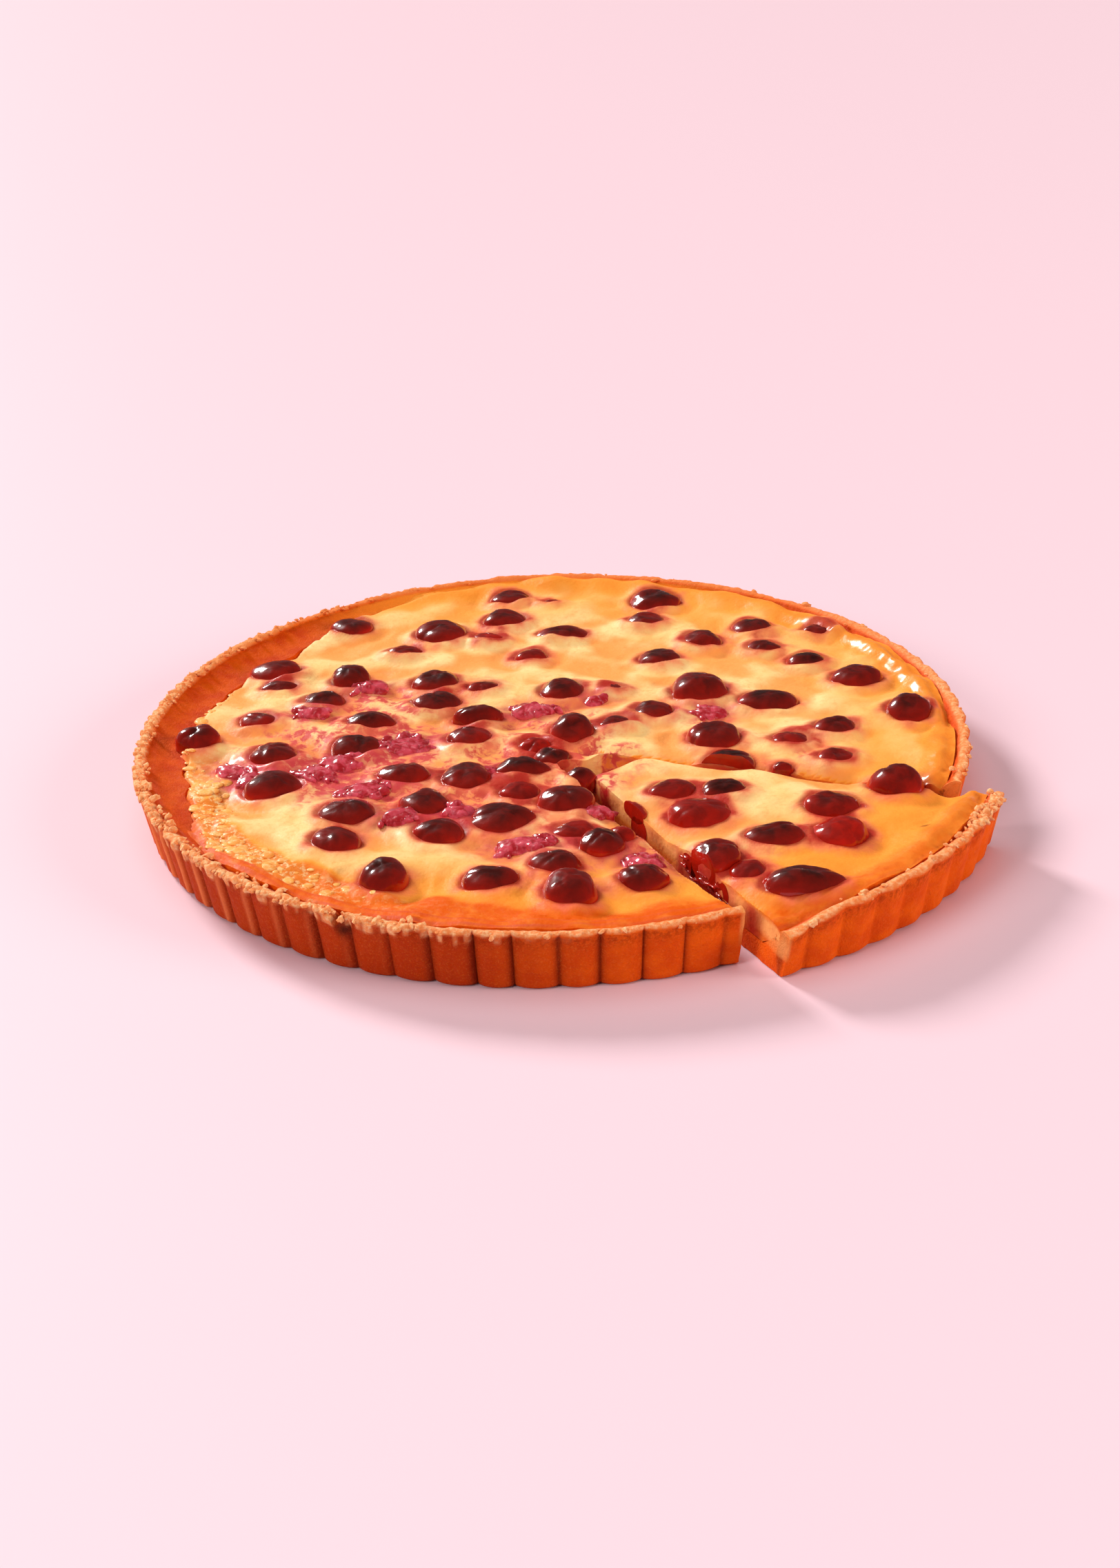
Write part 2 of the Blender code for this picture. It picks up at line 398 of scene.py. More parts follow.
# Where juice has soaked a wide patch of the custard: x, y, how far and how strong
soaked = [
    (-72, -27, 15, 0.9), (-94, -30, 15, 1.0), (-62, 34, 13, 0.7), (-82, 14, 12, 0.7), (-48, -9, 15, 0.9),
    (-58, -48, 17, 0.9), (2, -14, 16, 0.8), (14, -34, 16, 0.7), (24, -92, 13, 0.8), (-10, -82, 14, 0.6),
    (-30, -62, 13, 0.6), (52, 4, 12, 0.6), (-4, 12, 14, 0.6), (20, 20, 12, 0.5), (-26, 34, 12, 0.5),
    (78, -30, 14, 0.5), (60, -96, 12, 0.5), (-18, -36, 14, 0.5), (88, 66, 12, 0.4), (-58, 66, 12, 0.4),
    (-78, -14, 30, 0.9), (2, -26, 30, 0.55), (-32, -44, 28, 0.5), (18, -84, 22, 0.4), (-56, 18, 22, 0.7),
]


def soaking(x, y):
    share = np.zeros(len(x))
    for sx, sy, reach, strength in soaked:
        share += strength * np.exp(-(np.hypot(x - sx, y - sy) / reach) ** 2)
    return share


def fleshStain(x, y):
    stain = np.zeros(len(x))
    for fx, fy, length, width, bearing in tornFlesh:
        way = math.radians(bearing)
        along = (x - fx) * math.cos(way) + (y - fy) * math.sin(way)
        across = (y - fy) * math.cos(way) - (x - fx) * math.sin(way)
        ratio = np.hypot(along / (length * 0.8), across / (width * 0.85))
        stain += np.exp(-ratio ** 3)
    return stain


# ---------- crust

crust = {
    "rimRadius": 139.2,
    "baseRadius": 136.2,
    "rimTop": 20.3,
    "flutes": 72,
    "pointsPerFlute": 20,
    "fluteDepth": 2.2,
    "roundness": 0.48,  # lower makes flatter swells and narrower grooves
    "floor": 6.2,
    "crumbly": [(-150, 42), (-25, 7), (165, 38)],  # bearings where the edge is roughest, and how far round
    "combed": [(-145, 27), (-108, 12)],  # where crumbs hang down over the flutes in short ridges
    "toothWidth": 1.25,
    "crack": -116.5,
}


def crumbliness(bearing):
    rough = 0.25 + sum(around(bearing, centre, spread) for centre, spread in crust["crumbly"])
    return np.clip(rough, 0, 1)


def combing(bearing):
    return np.clip(sum(around(bearing, centre, spread) for centre, spread in crust["combed"]), 0, 1)


def leftSlope(bearing):
    # on the left the wall leans in as a broad ramp, and the custard stops short of the rim
    apart = (bearing - 177 + 180) % 360 - 180
    return np.where(apart < 0, eased(72, 34, -apart), eased(48, 18, apart))


def wallFoot(bearing):
    # how far out the custard meets the wall
    way = np.radians(bearing)
    ragged = lumps(np.cos(way) * 14, np.sin(way) * 14, way * 0, 1, 9)
    closer = 9.3 * leftSlope(bearing) + 2.2 * around(bearing, 148, 14)
    return 132.6 - closer + (0.35 + 0.9 * leftSlope(bearing)) * ragged


def softness(bearing):
    # the flutes are shallow and soft on the slice
    return eased(-70, -62, bearing) * (1 - eased(-20, -10, bearing))


def ridging(way, drift=0.0):
    # a narrow raised line down one side of each flute
    phase = (way * crust["flutes"] / math.tau + drift / math.pi) % 1
    return np.exp(-((phase - 0.82) / 0.07) ** 2)


def ridgeZone(bearing):
    return around(bearing, -152, 24)


def comb(way):
    # ragged little ridges running round the edge, each of its own width and strength
    far = crust["rimRadius"] / crust["toothWidth"] / 2
    ridge = lumps(np.cos(way) * far, np.sin(way) * far, way * 0, 1, 17)
    strength = lumps(np.cos(way) * 24, np.sin(way) * 24, way * 0, 1, 18)
    return np.clip(0.5 + 0.75 * ridge + 0.35 * strength, 0, 1)


def beads(x, y, z, size):
    # rounded grains side by side, 1 on the middle of a grain and 0 between two
    tops = np.array([
        noise.voronoi(Vector((a / size, b / size, c / size)))[0][0] for a, b, c in zip(x, y, z)
    ])
    return 1 - np.clip(tops / 0.62, 0, 1) ** 2


def makeCrust():
    columns = crust["flutes"] * crust["pointsPerFlute"]
    bearing = np.linspace(-180, 180, columns, endpoint=False)
    way = np.radians(bearing)
    circle = np.column_stack([np.cos(way), np.sin(way)])
    zero = np.zeros(columns)
    drift = 0.22 * lumps(circle[:, 0] * 9, circle[:, 1] * 9, zero, 1, 2)
    soft = softness(bearing)
    swell = np.abs(np.sin(way * crust["flutes"] / 2 + drift)) ** (crust["roundness"] + 0.5 * soft)
    groove = 1 - swell
    ridge = ridging(way, drift) * ridgeZone(bearing)
    rough, slope, foot = crumbliness(bearing), leftSlope(bearing), wallFoot(bearing)
    teeth = combing(bearing) * (comb(way) - 0.4)
    hangs = 1.3 * lumps(circle[:, 0] * 30, circle[:, 1] * 30, zero, 1, 19) - 1.2 * (combing(bearing) - 0.7)
    depth = crust["fluteDepth"] * (1 + 0.25 * lumps(circle[:, 0] * 6, circle[:, 1] * 6, zero, 1, 5)) * (1 - 0.45 * soft)
    crack = np.exp(-(((bearing - crust["crack"]) * 2.4) / 1.5) ** 2)
    uneven = 0.45 * np.sin(5 * way) + 0.25 * np.sin(13 * way)
    uneven += 0.5 * lumps(circle[:, 0] * 11, circle[:, 1] * 11, zero, 1, 8)
    top = crust["rimTop"] - 0.7 + 0.5 * uneven - 2.6 * crack
    base, rim = crust["baseRadius"], crust["rimRadius"]

    # each row: radius, height, how far the flutes and the teeth press, and how rough it is
    rows = [(r + zero, zero, 0, 0, 0) for r in (45, 90, 118)]
    rows.append((base - 2.2 - 0.8 * groove * depth, zero, 0, 0, 0))
    rows.append((base - 0.7 + zero, zero + 0.12, 0.9, 0, 0.05))
    for height in (0.9, 2, 3.5, 5, 6.5, 8, 9.5, 11, 12.5, 14, 15, 15.9, 16.7, 17.5, 18.2):
        share = height / 19
        hang = eased(15.6 + hangs, 17.6 + hangs, height)
        rows.append((base + (rim - base) * share + zero, height + (top - 19.9) * share, 1, 1.3 * hang, 0.16 + 0.2 * hang))
    rows.append((rim + 0.05 + zero, top - 1.0, 0.85, 1.0, 0.5))
    rows.append((rim - 0.35 + zero, top - 0.4, 0.65, 0.8, 0.85))
    rows.append((rim - 1.0 + zero, top, 0.4, 0.5, 1.0))
    rows.append((rim - 1.7 + zero, top + 0.1, 0.25, 0.3, 1.0))
    rows.append((rim - 2.4 + zero, top, 0.1, 0.1, 1.0))
    rows.append((rim - 3.1 + zero, top - 0.3, 0, 0, 0.9))
    rows.append((rim - 3.8 + zero, top - 0.8, 0, 0, 0.7))
    innerTop = rim - 4.5 + zero
    rows.append((innerTop, top - 1.5, 0, 0, 0.45))
    footHeight = 15.6 - 0.4 * slope
    for share in (0.14, 0.28, 0.42, 0.56, 0.7, 0.85, 1.0):
        sag = 0.8 * slope * math.sin(share * math.pi)
        height = top - 1.5 + (footHeight - top + 1.5) * share - sag
        rows.append((innerTop + (foot - innerTop) * share, height, 0, 0, 0.2))
    rows.append((foot - 2.5, zero + 10.5, 0, 0, 0))
    rows.append((foot - 7 + 5 * slope, zero + crust["floor"], 0, 0, 0))
    rows += [(r + zero, zero + crust["floor"], 0, 0, 0) for r in (95, 50)]

    points = []
    for radius, height, pressed, hanging, roughness in rows:
        radius = radius - pressed * depth * groove + 0.75 * hanging * teeth + 0.6 * pressed * ridge
        x, y = circle[:, 0] * radius, circle[:, 1] * radius
        height = height + zero
        if np.max(roughness) > 0:
            coarse = 1.5 * beads(x, y, height, 3.3) - 0.9
            fine = lumps(x, y, height, 1.5, 12)
            push = roughness * (0.3 + 0.7 * rough) * (0.6 * coarse + 0.35 * fine)
            if np.min(roughness) >= 0.4:
                height = height + 0.75 * push
                radius = radius + 0.5 * roughness * rough * lumps(x, y, height, 4.1, 14)
            radius = radius + (0.6 if pressed else 0.15) * push
        radius = np.minimum(radius, 139.75)
        height = np.clip(height, 0, 21.0)
        points.append(np.column_stack([circle[:, 0] * radius, circle[:, 1] * radius, height]))
    count = len(rows)
    faces = gridFaces(count, columns)
    allPoints = np.vstack(points + [[[0, 0, 0]], [[0, 0, crust["floor"]]]])
    low, high = count * columns, count * columns + 1
    last = (count - 1) * columns
    for column in range(columns):
        nextOne = (column + 1) % columns
        faces.append((low, nextOne, column))
        faces.append((high, last + column, last + nextOne))
    piece = newPiece("pieCrust", allPoints, faces)
    faceOut(piece)
    return piece


def paintCrust(piece, shift):
    # layers worked out after the cut: painted shade in the grooves and under the rim, pale edge, a painted highlight
    # beside the flutes, painted light on the back wall, painted shade at the front left, burn, and what the knife
    # opened
    points = meshPoints(piece.data)
    x, y, z = points[:, 0] - shift[0], points[:, 1] - shift[1], points[:, 2]
    r, bearing = np.hypot(x, y), bearingOf(x, y)
    way = np.radians(bearing)
    rough = crumbliness(bearing)
    outer = eased(132, 134.5, r) * (1 - eased(17.4, 19.0, z))
    away = np.maximum(0, crust["baseRadius"] + 3.0 * z / 19 - r)
    shade = np.clip(away / crust["fluteDepth"], 0, 1) * (1 - 0.6 * softness(bearing))
    # painted shade: the flute grooves are coloured darker, most where they are deepest
    writeLayer(piece.data, "groove", outer * shade)
    teeth = combing(bearing) * eased(0.4, 0.75, comb(way))
    hangs = 1.3 * lumps(np.cos(way) * 30, np.sin(way) * 30, way * 0, 1, 19) - 1.2 * (combing(bearing) - 0.7)
    edge = eased(18.3, 19.3, z) * eased(134.2, 135.8, r)
    edge = np.maximum(edge, teeth * eased(15.6 + hangs, 17.2 + hangs, z) * eased(136.3, 137.4, r))
    writeLayer(piece.data, "edge", edge * (0.65 + 0.35 * rough))
    # painted shade under the overhanging rim, on the upper outer side
    writeLayer(piece.data, "under", outer * eased(12.5, 17.5, z) * (1 - teeth))
    drift = 0.22 * lumps(np.cos(way) * 9, np.sin(way) * 9, way * 0, 1, 2)
    # painted highlight on the raised line beside each flute, on the left of the crust
    writeLayer(piece.data, "ridge", outer * ridging(way, drift) * ridgeZone(bearing))
    # the back of the crust: painted light on the inner wall, which lies in the key light's shadow, and a more orange
    # rim
    writeLayer(piece.data, "golden", around(bearing, 95, 75))
    inner = (1 - eased(134.6, 135.6, r)) * eased(11, 13, z)
    writeLayer(piece.data, "inner", inner)
    front = around(bearing, -106, 46)
    stripe = np.exp(-((r - 135.3 - 0.35 * lumps(x, y, z, 9, 15)) / 0.4) ** 2) * eased(17.0, 18.5, z)
    second = np.exp(-((r - 133.1 - 0.4 * lumps(x, y, z, 9, 35)) / 0.45) ** 2) * inner * around(bearing, -132, 30)
    writeLayer(piece.data, "pink", np.clip(front * stripe * 1.2 + second, 0, 1))
    # painted shade: the crust is darker at the front left, where its side faces away from the key light
    left = 1.05 * around(bearing, -133, 28) + 0.7 * around(bearing, -105, 20)
    writeLayer(piece.data, "toasted", np.clip(left, 0, 1))
    burn = np.exp(-(((bearing - crust["crack"] - 0.8) * 2.4) / 2.3) ** 2 - ((z - 14.6) / 2.4) ** 2) * outer
    writeLayer(piece.data, "burn", burn)
    inside = offSlice(x, y)
    writeLayer(piece.data, "opened", np.exp(-(np.abs(inside) / 0.9) ** 4) * eased(6.5, 9, z))


# ---------- custard

custard = {
    "across": 272,  # points from side to side
    "radius": 134.2,
    "underside": 6.5,
    "foot": 125.4,
    "lift": 0.35,  # how far it stands above the plain level
    "lip": 0.9,  # how far it has risen round each cherry
    "blisterBearing": -146,
    "foldBearing": 15,
}


def foldZone(bearing):
    return np.clip(around(bearing, custard["foldBearing"], 36) + 0.5 * around(bearing, -34, 16), 0, 1)


def blisterZone(r, bearing):
    foot = np.minimum(wallFoot(bearing), 131)
    band = eased(foot - 14, foot - 9, r) * (1 - eased(foot - 2.5, foot - 0.5, r))
    return np.clip(1.2 * around(bearing, custard["blisterBearing"], 24), 0, 1) * band


def custardWaves(x, y):
    # the pillows it set in
    zero = np.zeros(len(x))
    return 0.9 * lumps(x, y, zero, 27, 21) + 1.25 * lumps(x, y, zero, 14, 22)


def custardShape(x, y, onSlice, shift):
    r, bearing = np.hypot(x, y), bearingOf(x, y)
    zero = np.zeros(len(x))
    near, _, risen = nearCherries(x + shift[0], y + shift[1], onSlice)
    z = custardLevel(x, y) + custard["lift"]
    z += custardWaves(x, y) + 0.08 * lumps(x, y, zero, 3, 23)
    uneven = 1 + 0.35 * lumps(x, y, zero, 6, 24)
    z += custard["lip"] * uneven * risen
    z -= 0.4 * np.exp(-((near - 5.8) / 2.5) ** 2)
    # it stops short of the rim on the left, with a rounded beaded edge
    left, foot = leftSlope(bearing), wallFoot(bearing)
    edgeBeads = 0.5 * lumps(x, y, zero, 2.6, 29)
    z -= left * (0.9 * eased(98, 116, r) + 3.4 * eased(foot - 1.8, foot + 1.4, r + edgeBeads))
    # elsewhere it climbs to the rim, in folds on the right and with fine wrinkles along the front
    right, front = foldZone(bearing), around(bearing, -105, 58)
    climb = eased(122, 131.5, r)
    back = around(bearing, 88, 42)
    z += (1 - left) * (0.5 + 1.1 * right + 1.7 * back) * climb
    fold = r + 0.9 * lumps(x, y, zero, 11, 25)
    z += right * (1.5 + 0.7 * lumps(x, y, zero, 7, 43)) * np.exp(-((fold - 129.0) / 2.4) ** 2)
    z += right * eased(117, 123, r) * (0.35 * lumps(x, y, zero, 3.6, 26) - 0.7 * eased(130.8, 132.2, fold))
    wrinkle = np.sin((r + 0.8 * lumps(x, y, zero, 15, 30)) * math.tau / 2.5)
    z += front * eased(124, 128, r) * (0.28 * wrinkle + 0.1 * lumps(x, y, zero, 2, 31))
    blister = blisterZone(r, bearing)
    z += blister * (0.55 * np.abs(lumps(x, y, zero, 3.6, 27)) + 0.6 * np.abs(lumps(x, y, zero, 6, 28)) - 0.3)
    # the knife rounded its edges and dragged them down a little
    leftPlane, rightPlane = cutSides()
    offRight = (x - rightPlane[0][0]) * rightPlane[1][0] + (y - rightPlane[0][1]) * rightPlane[1][1]
    atRight = eased(5, 12, x)
    if onSlice:
        z -= 0.9 * np.exp(-(np.abs(offSlice(x, y)) / 1.3) ** 2) * np.where(np.abs(offRight) < 3, 0.2, 1)
    else:
        z -= 0.9 * np.exp(-(np.abs(offSlice(x, y)) / 1.3) ** 2)
        z -= 1.1 * atRight * np.exp(-(np.maximum(offRight, 0) / 2.6) ** 2)
    # a narrow crease where it meets the crust
    z -= (1 - left) * 0.6 * eased(foot - 0.4, foot + 0.9, r)
    return z


def discGrid(across, radius):
    # an even grid of points bent into a disc
    line = np.linspace(-1, 1, across)
    u, v = (part.ravel() for part in np.meshgrid(line, line))
    wide = np.abs(u) > np.abs(v)
    far = np.where(wide, u, v)
    safe = np.where(far == 0, 1, far)
    turn = np.where(wide, math.pi / 4 * v / safe, math.pi / 2 - math.pi / 4 * u / safe)
    return radius * far * np.cos(turn), radius * far * np.sin(turn)


def makeCustard(name, onSlice, shift):
    n = custard["across"]
    x, y = discGrid(n, custard["radius"])
    z = custardShape(x, y, onSlice, shift)
    faces = [
        (row * n + column, row * n + column + 1, (row + 1) * n + column + 1, (row + 1) * n + column)
        for row in range(n - 1) for column in range(n - 1)
    ]
    loop = list(range(n)) + [row * n + n - 1 for row in range(1, n)]
    loop += [(n - 1) * n + column for column in range(n - 2, -1, -1)] + [row * n for row in range(n - 2, 0, -1)]
    # the side slopes in under the top to a smaller base
    start, count = n * n, len(loop)
    rings = []
    for foot, height in ((1.0, 13.5), (0.972, 10.5), (custard["foot"] / custard["radius"], custard["underside"])):
        rings += [(x[i] * foot, y[i] * foot, min(height, z[i] - 0.5)) for i in loop]
    for i in range(count):
        j = (i + 1) % count
        faces.append((loop[j], loop[i], start + i, start + j))
        for ring in (0, 1):
            here, below = start + ring * count, start + (ring + 1) * count
            faces.append((here + j, here + i, below + i, below + j))
    middle = start + 3 * count
    for i in range(count):
        faces.append((middle, start + 2 * count + (i + 1) % count, start + 2 * count + i))
    points = np.vstack([np.column_stack([x, y, z]), rings, [[0, 0, custard["underside"]]]])
    piece = newPiece(name, points, faces)
    faceOut(piece)
    return piece


def paintCustard(piece, onSlice, shift):
    points = meshPoints(piece.data)
    x, y, z = points[:, 0] - shift[0], points[:, 1] - shift[1], points[:, 2]
    zero = np.zeros(len(x))
    r, bearing = np.hypot(x, y), bearingOf(x, y)
    near, juice, risen = nearCherries(points[:, 0], points[:, 1], onSlice)
    stain = fleshStain(points[:, 0], points[:, 1])
    patchy = 0.8 + 0.5 * lumps(x, y, zero, 5, 31)
    height = custardWaves(x, y) + 0.5 * risen
    # painted shade: the low parts between the custard's pillows are coloured orange
    writeLayer(piece.data, "low", eased(0.7, -0.6, height + 0.25 * lumps(x, y, zero, 5, 42)))
    wide = soaking(points[:, 0], points[:, 1]) * (0.75 + 0.6 * lumps(x, y, zero, 7, 41))
    writeLayer(piece.data, "soaked", np.clip(wide, 0, 1))
    writeLayer(piece.data, "juice", np.clip(juice * patchy, 0, 1))
    writeLayer(piece.data, "flesh", np.clip(stain * (0.8 + 0.5 * lumps(x, y, zero, 3, 32)), 0, 1))
    front, right = around(bearing, -112, 62), foldZone(bearing)
    reach = r + 3.0 * lumps(x, y, zero, 10, 33)
    toastedEdge = around(bearing, -148, 27) * eased(115, 125, reach)
    leftFace = cutSides()[0]
    offLeft = np.abs((x - leftFace[0][0]) * leftFace[1][0] + (y - leftFace[0][1]) * leftFace[1][1])
    onRight = (np.abs(offSlice(x, y)) < 1.2) & (offLeft > 1.2) & (z < 15.8)
    brown = (0.55 + 0.6 * front + 0.05 * right - 0.15 * onSlice) * eased(113 - 3 * front, 131, reach) * (1 - 0.75 * leftSlope(bearing))
    paler = 1 - 0.75 * around(bearing, -136, 24)
    brown = np.maximum(brown, (0.3 + 0.25 * front) * paler * eased(84, 112, reach) * (1 - leftSlope(bearing)))
    brown += onSlice * 0.16 * eased(64, 118, reach) + 0.8 * toastedEdge
    brown += 0.35 * around(bearing, -106, 15) * eased(115, 124, reach)
    # painted shade: the pie's right cut wall, deep in the gap, is coloured orange-brown
    brown = np.maximum(brown, 0.7 * onRight * (not onSlice))
    # painted shade: the cut face is darker at its foot
    brown = np.maximum(brown, 0.75 * (offLeft < 1) * eased(11.5, 8.5, z))
    writeLayer(piece.data, "brown", np.clip(brown, 0, 1))
    # dark red juice in a ring round each cherry, deepened as painted contact shade
    writeLayer(piece.data, "hollow", np.exp(-(np.maximum(near, 0) / 1.1) ** 2))
    writeLayer(piece.data, "blister", blisterZone(r, bearing))
    shiny = right * eased(122, 126, r) * (1 - eased(131, 132.5, r))
    writeLayer(piece.data, "wet", np.clip(shiny + 0.2 * blisterZone(r, bearing), 0, 1))
    stripe = np.exp(-((r - 132.9 - 0.4 * lumps(x, y, zero, 9, 35)) / 0.45) ** 2)
    stripe += 0.55 * np.exp(-((r - 130.4 - 0.5 * lumps(x, y, zero, 12, 36)) / 0.45) ** 2)
    writeLayer(piece.data, "pink", np.clip(around(bearing, -108, 50) * stripe, 0, 1))
    inside = offSlice(x, y)
    top = custardShape(x, y, onSlice, shift)
    below = eased(0.4, 1.2, top - z)
    opened = np.exp(-(np.abs(inside) / 0.9) ** 4) * below
    writeLayer(piece.data, "opened", opened * np.where(offLeft < 1, eased(8, 11.5, z), 0.1))
    dark = sum(np.exp(-((x - sx) ** 2 + (y - sy) ** 2) / size ** 2) for sx, sy, size in scorched)
    writeLayer(piece.data, "speck", np.clip(1.6 * dark, 0, 1))
    # juice that ran down the cut faces
    runs = np.clip(1.5 * lumps(x, y, zero, 9, 37) + 0.05 + 0.25 * lumps(x, y, z, 3, 38), 0, 1)
    stained = np.exp(-(np.hypot(x - cut["stain"][0], y - cut["stain"][1]) / 4) ** 2)
    writeLayer(piece.data, "run", np.clip(opened * (runs * (r < 108) + stained), 0, 1))


# ---------- cherries

cherry = {
    "around": 48,
    "up": 28,
    "fullness": 2.35,  # 2 is a plain ball, more gives fuller shoulders
    "sag": 0.94,
    "uneven": 0.08,
    "creases": 0.018,
    "foldDepth": 0.075,
    "underside": 6,
}


def cherryShape(place):
    # a squat uneven fruit with the pit where the stone came out and a few folds in its skin
    columns, rows = cherry["around"], cherry["up"]
    turn = np.linspace(0, math.tau, columns, endpoint=False)
    rise = np.linspace(-math.pi / 2, math.pi / 2, rows)[1:-1]
    turnGrid, riseGrid = (part.ravel() for part in np.meshgrid(turn, rise))
    ways = np.column_stack([
        np.cos(riseGrid) * np.cos(turnGrid), np.cos(riseGrid) * np.sin(turnGrid), np.sin(riseGrid),
    ])
    ways = np.vstack([[0, 0, -1], ways, [0, 0, 1]])
    seed = place["seed"]
    rng = random.Random(seed * 7 + 1)
    power = cherry["fullness"]
    flat = np.hypot(ways[:, 0], ways[:, 1])
    size = (flat ** power + np.abs(ways[:, 2]) ** power) ** (-1 / power)
    size *= 1 + cherry["uneven"] * lumps(*(ways + seed).T, 0.85, seed)
    size += cherry["creases"] * lumps(ways[:, 0] * 1.2, ways[:, 1] * 2.6, ways[:, 2] * 1.4, 0.3, seed + 3)
    dentWay = np.array([rng.uniform(-0.8, 0.8), rng.uniform(-0.8, 0.5), 0.8])
    dentWay /= np.linalg.norm(dentWay)
    size -= rng.uniform(0.0, 0.12) * np.exp(-((1 - ways @ dentWay) / 0.05) ** 2)
    for _ in range(rng.choice((1, 2, 2, 3))):
        # a fold is a shallow furrow along part of a slanting line
        lean = rng.uniform(0, math.tau)
        across = np.array([math.cos(lean), math.sin(lean), rng.uniform(-0.35, 0.35)])
        across /= np.linalg.norm(across)
        start = rng.uniform(0, math.tau)
        along = 0.5 + 0.5 * np.cos(turnOf(ways) - start)
        off = ways @ across - rng.uniform(-0.45, 0.45) + 0.05 * lumps(*ways.T, 0.5, seed + 5)
        size -= rng.uniform(0.3, 1) * cherry["foldDepth"] * along * np.exp(-(off / 0.1) ** 2)
    size = np.minimum(size * 0.985, np.where(flat > 0, 1 / np.maximum(flat, 1e-6), 9))
    high = (place["top"] - place["middle"]) * cherry["sag"]
    scale = np.where(ways[:, 2] > 0, high, cherry["underside"])
    points = np.column_stack([
        place["x"] + ways[:, 0] * place["a"] * size,
        place["y"] + ways[:, 1] * place["b"] * size,
        place["middle"] + np.clip(ways[:, 2] * size, -0.99, 1.02) * scale,
    ])
    ringCount = rows - 2
    faces = []
    for row in range(ringCount - 1):
        for column in range(columns):
            nextOne = (column + 1) % columns
            here, above = 1 + row * columns, 1 + (row + 1) * columns
            faces.append((here + column, here + nextOne, above + nextOne, above + column))
    last = 1 + (ringCount - 1) * columns
    for column in range(columns):
        nextOne = (column + 1) % columns
        faces.append((0, 1 + nextOne, 1 + column))
        faces.append((len(points) - 1, last + column, last + nextOne))
    # thin at its edge: painted light, brighter red most of all at the back where the light comes through it
    reach = np.hypot((points[:, 0] - place["x"]) / place["a"], (points[:, 1] - place["y"]) / place["b"])
    behind = (points[:, 1] - place["y"]) / place["b"] - 0.3 * (points[:, 0] - place["x"]) / place["a"]
    thin = eased(0.35, 1.0, reach) * (0.3 + 0.7 * np.clip(behind + 0.15, 0, 1)) + 0.35 * eased(0.86, 1.0, reach)
    return points, faces, thin


def turnOf(ways):
    return np.arctan2(ways[:, 1], ways[:, 0])


def trimToCut(piece, point, normal, gap=0.0):
    # takes away what lies past the knife's plane and closes the opening
    bm = bmesh.new()
    bm.from_mesh(piece.data)
    at = Vector((point[0] * mm, point[1] * mm, 0)) + Vector((*normal, 0)) * gap * mm
    everything = bm.verts[:] + bm.edges[:] + bm.faces[:]
    result = bmesh.ops.bisect_plane(bm, geom=everything, plane_co=at, plane_no=Vector((*normal, 0)), clear_outer=True)
    edges = [item for item in result["geom_cut"] if isinstance(item, bmesh.types.BMEdge)]
    bmesh.ops.holes_fill(bm, edges=edges)
    bm.to_mesh(piece.data)
    bm.free()
    piece.data.set_sharp_from_angle(angle=math.radians(50))
    # the opened flesh is redder than the skin
    apart = (meshPoints(piece.data) - np.array(at) / mm) @ np.array((*normal, 0))
    for key, value in (("red", 0.8), ("thin", 0.4)):
        layer = piece.data.attributes[key].data
        for index in np.flatnonzero(np.abs(apart) < 0.03):
            layer[int(index)].value = value


def makeCherry(name, place, material):
    points, faces, thin = cherryShape(place)
    piece = newPiece(name, points, faces, material)
    writeLayer(piece.data, "red", np.full(len(points), place["red"]))
    writeLayer(piece.data, "thin", thin)
    return piece


def joinPieces(name, pieces):
    graph = bmesh.new()
    for piece in pieces:
        graph.from_mesh(piece.data)
    mesh = bpy.data.meshes.new(name)
    graph.to_mesh(mesh)
    graph.free()
    for material in pieces[0].data.materials:
        mesh.materials.append(material)
    for piece in pieces:
        bpy.data.objects.remove(piece, do_unlink=True)
    joined = bpy.data.objects.new(name, mesh)
    bpy.context.scene.collection.objects.link(joined)
    return joined


# ---------- torn flesh and crumbs

flesh = {
    "shredsEach": 6,
    "shredLength": 7.0,
    "shredWidth": 3.1,
    "moundTop": 2.2,
    "strands": 14,  # on the cut face
    "around": 10,
    "along": 14,
}


def shredShape(x, y, level, length, width, way, rng, number):
    # a soft bent strip, rounder in the middle and tapering to its ends
    turns, steps = flesh["around"], flesh["along"]
    share = np.repeat(np.linspace(-1, 1, steps), turns)
    turn = np.tile(np.linspace(0, math.tau, turns, endpoint=False), steps)
    body = np.sqrt(np.clip(1 - np.abs(share) ** 2.4, 0.004, 1))
    body *= 1 + 0.3 * lumps(share * 2, np.cos(turn), np.sin(turn), 0.7, number)
    bend, tilt = rng.uniform(-0.5, 0.5), rng.uniform(-0.12, 0.12)
    along = share * length / 2
    side = np.cos(turn) * body * width / 2 + bend * share ** 2 * width
    lift = np.sin(turn) * body * width * 0.42 + tilt * along
    px = x + along * math.cos(way) - side * math.sin(way)
    py = y + along * math.sin(way) + side * math.cos(way)
    points = np.column_stack([px, py, level + lift])
    faces = gridFaces(steps, turns)
    faces.append(tuple(range(turns))[::-1])
    faces.append(tuple(range((steps - 1) * turns, steps * turns)))
    return points, faces


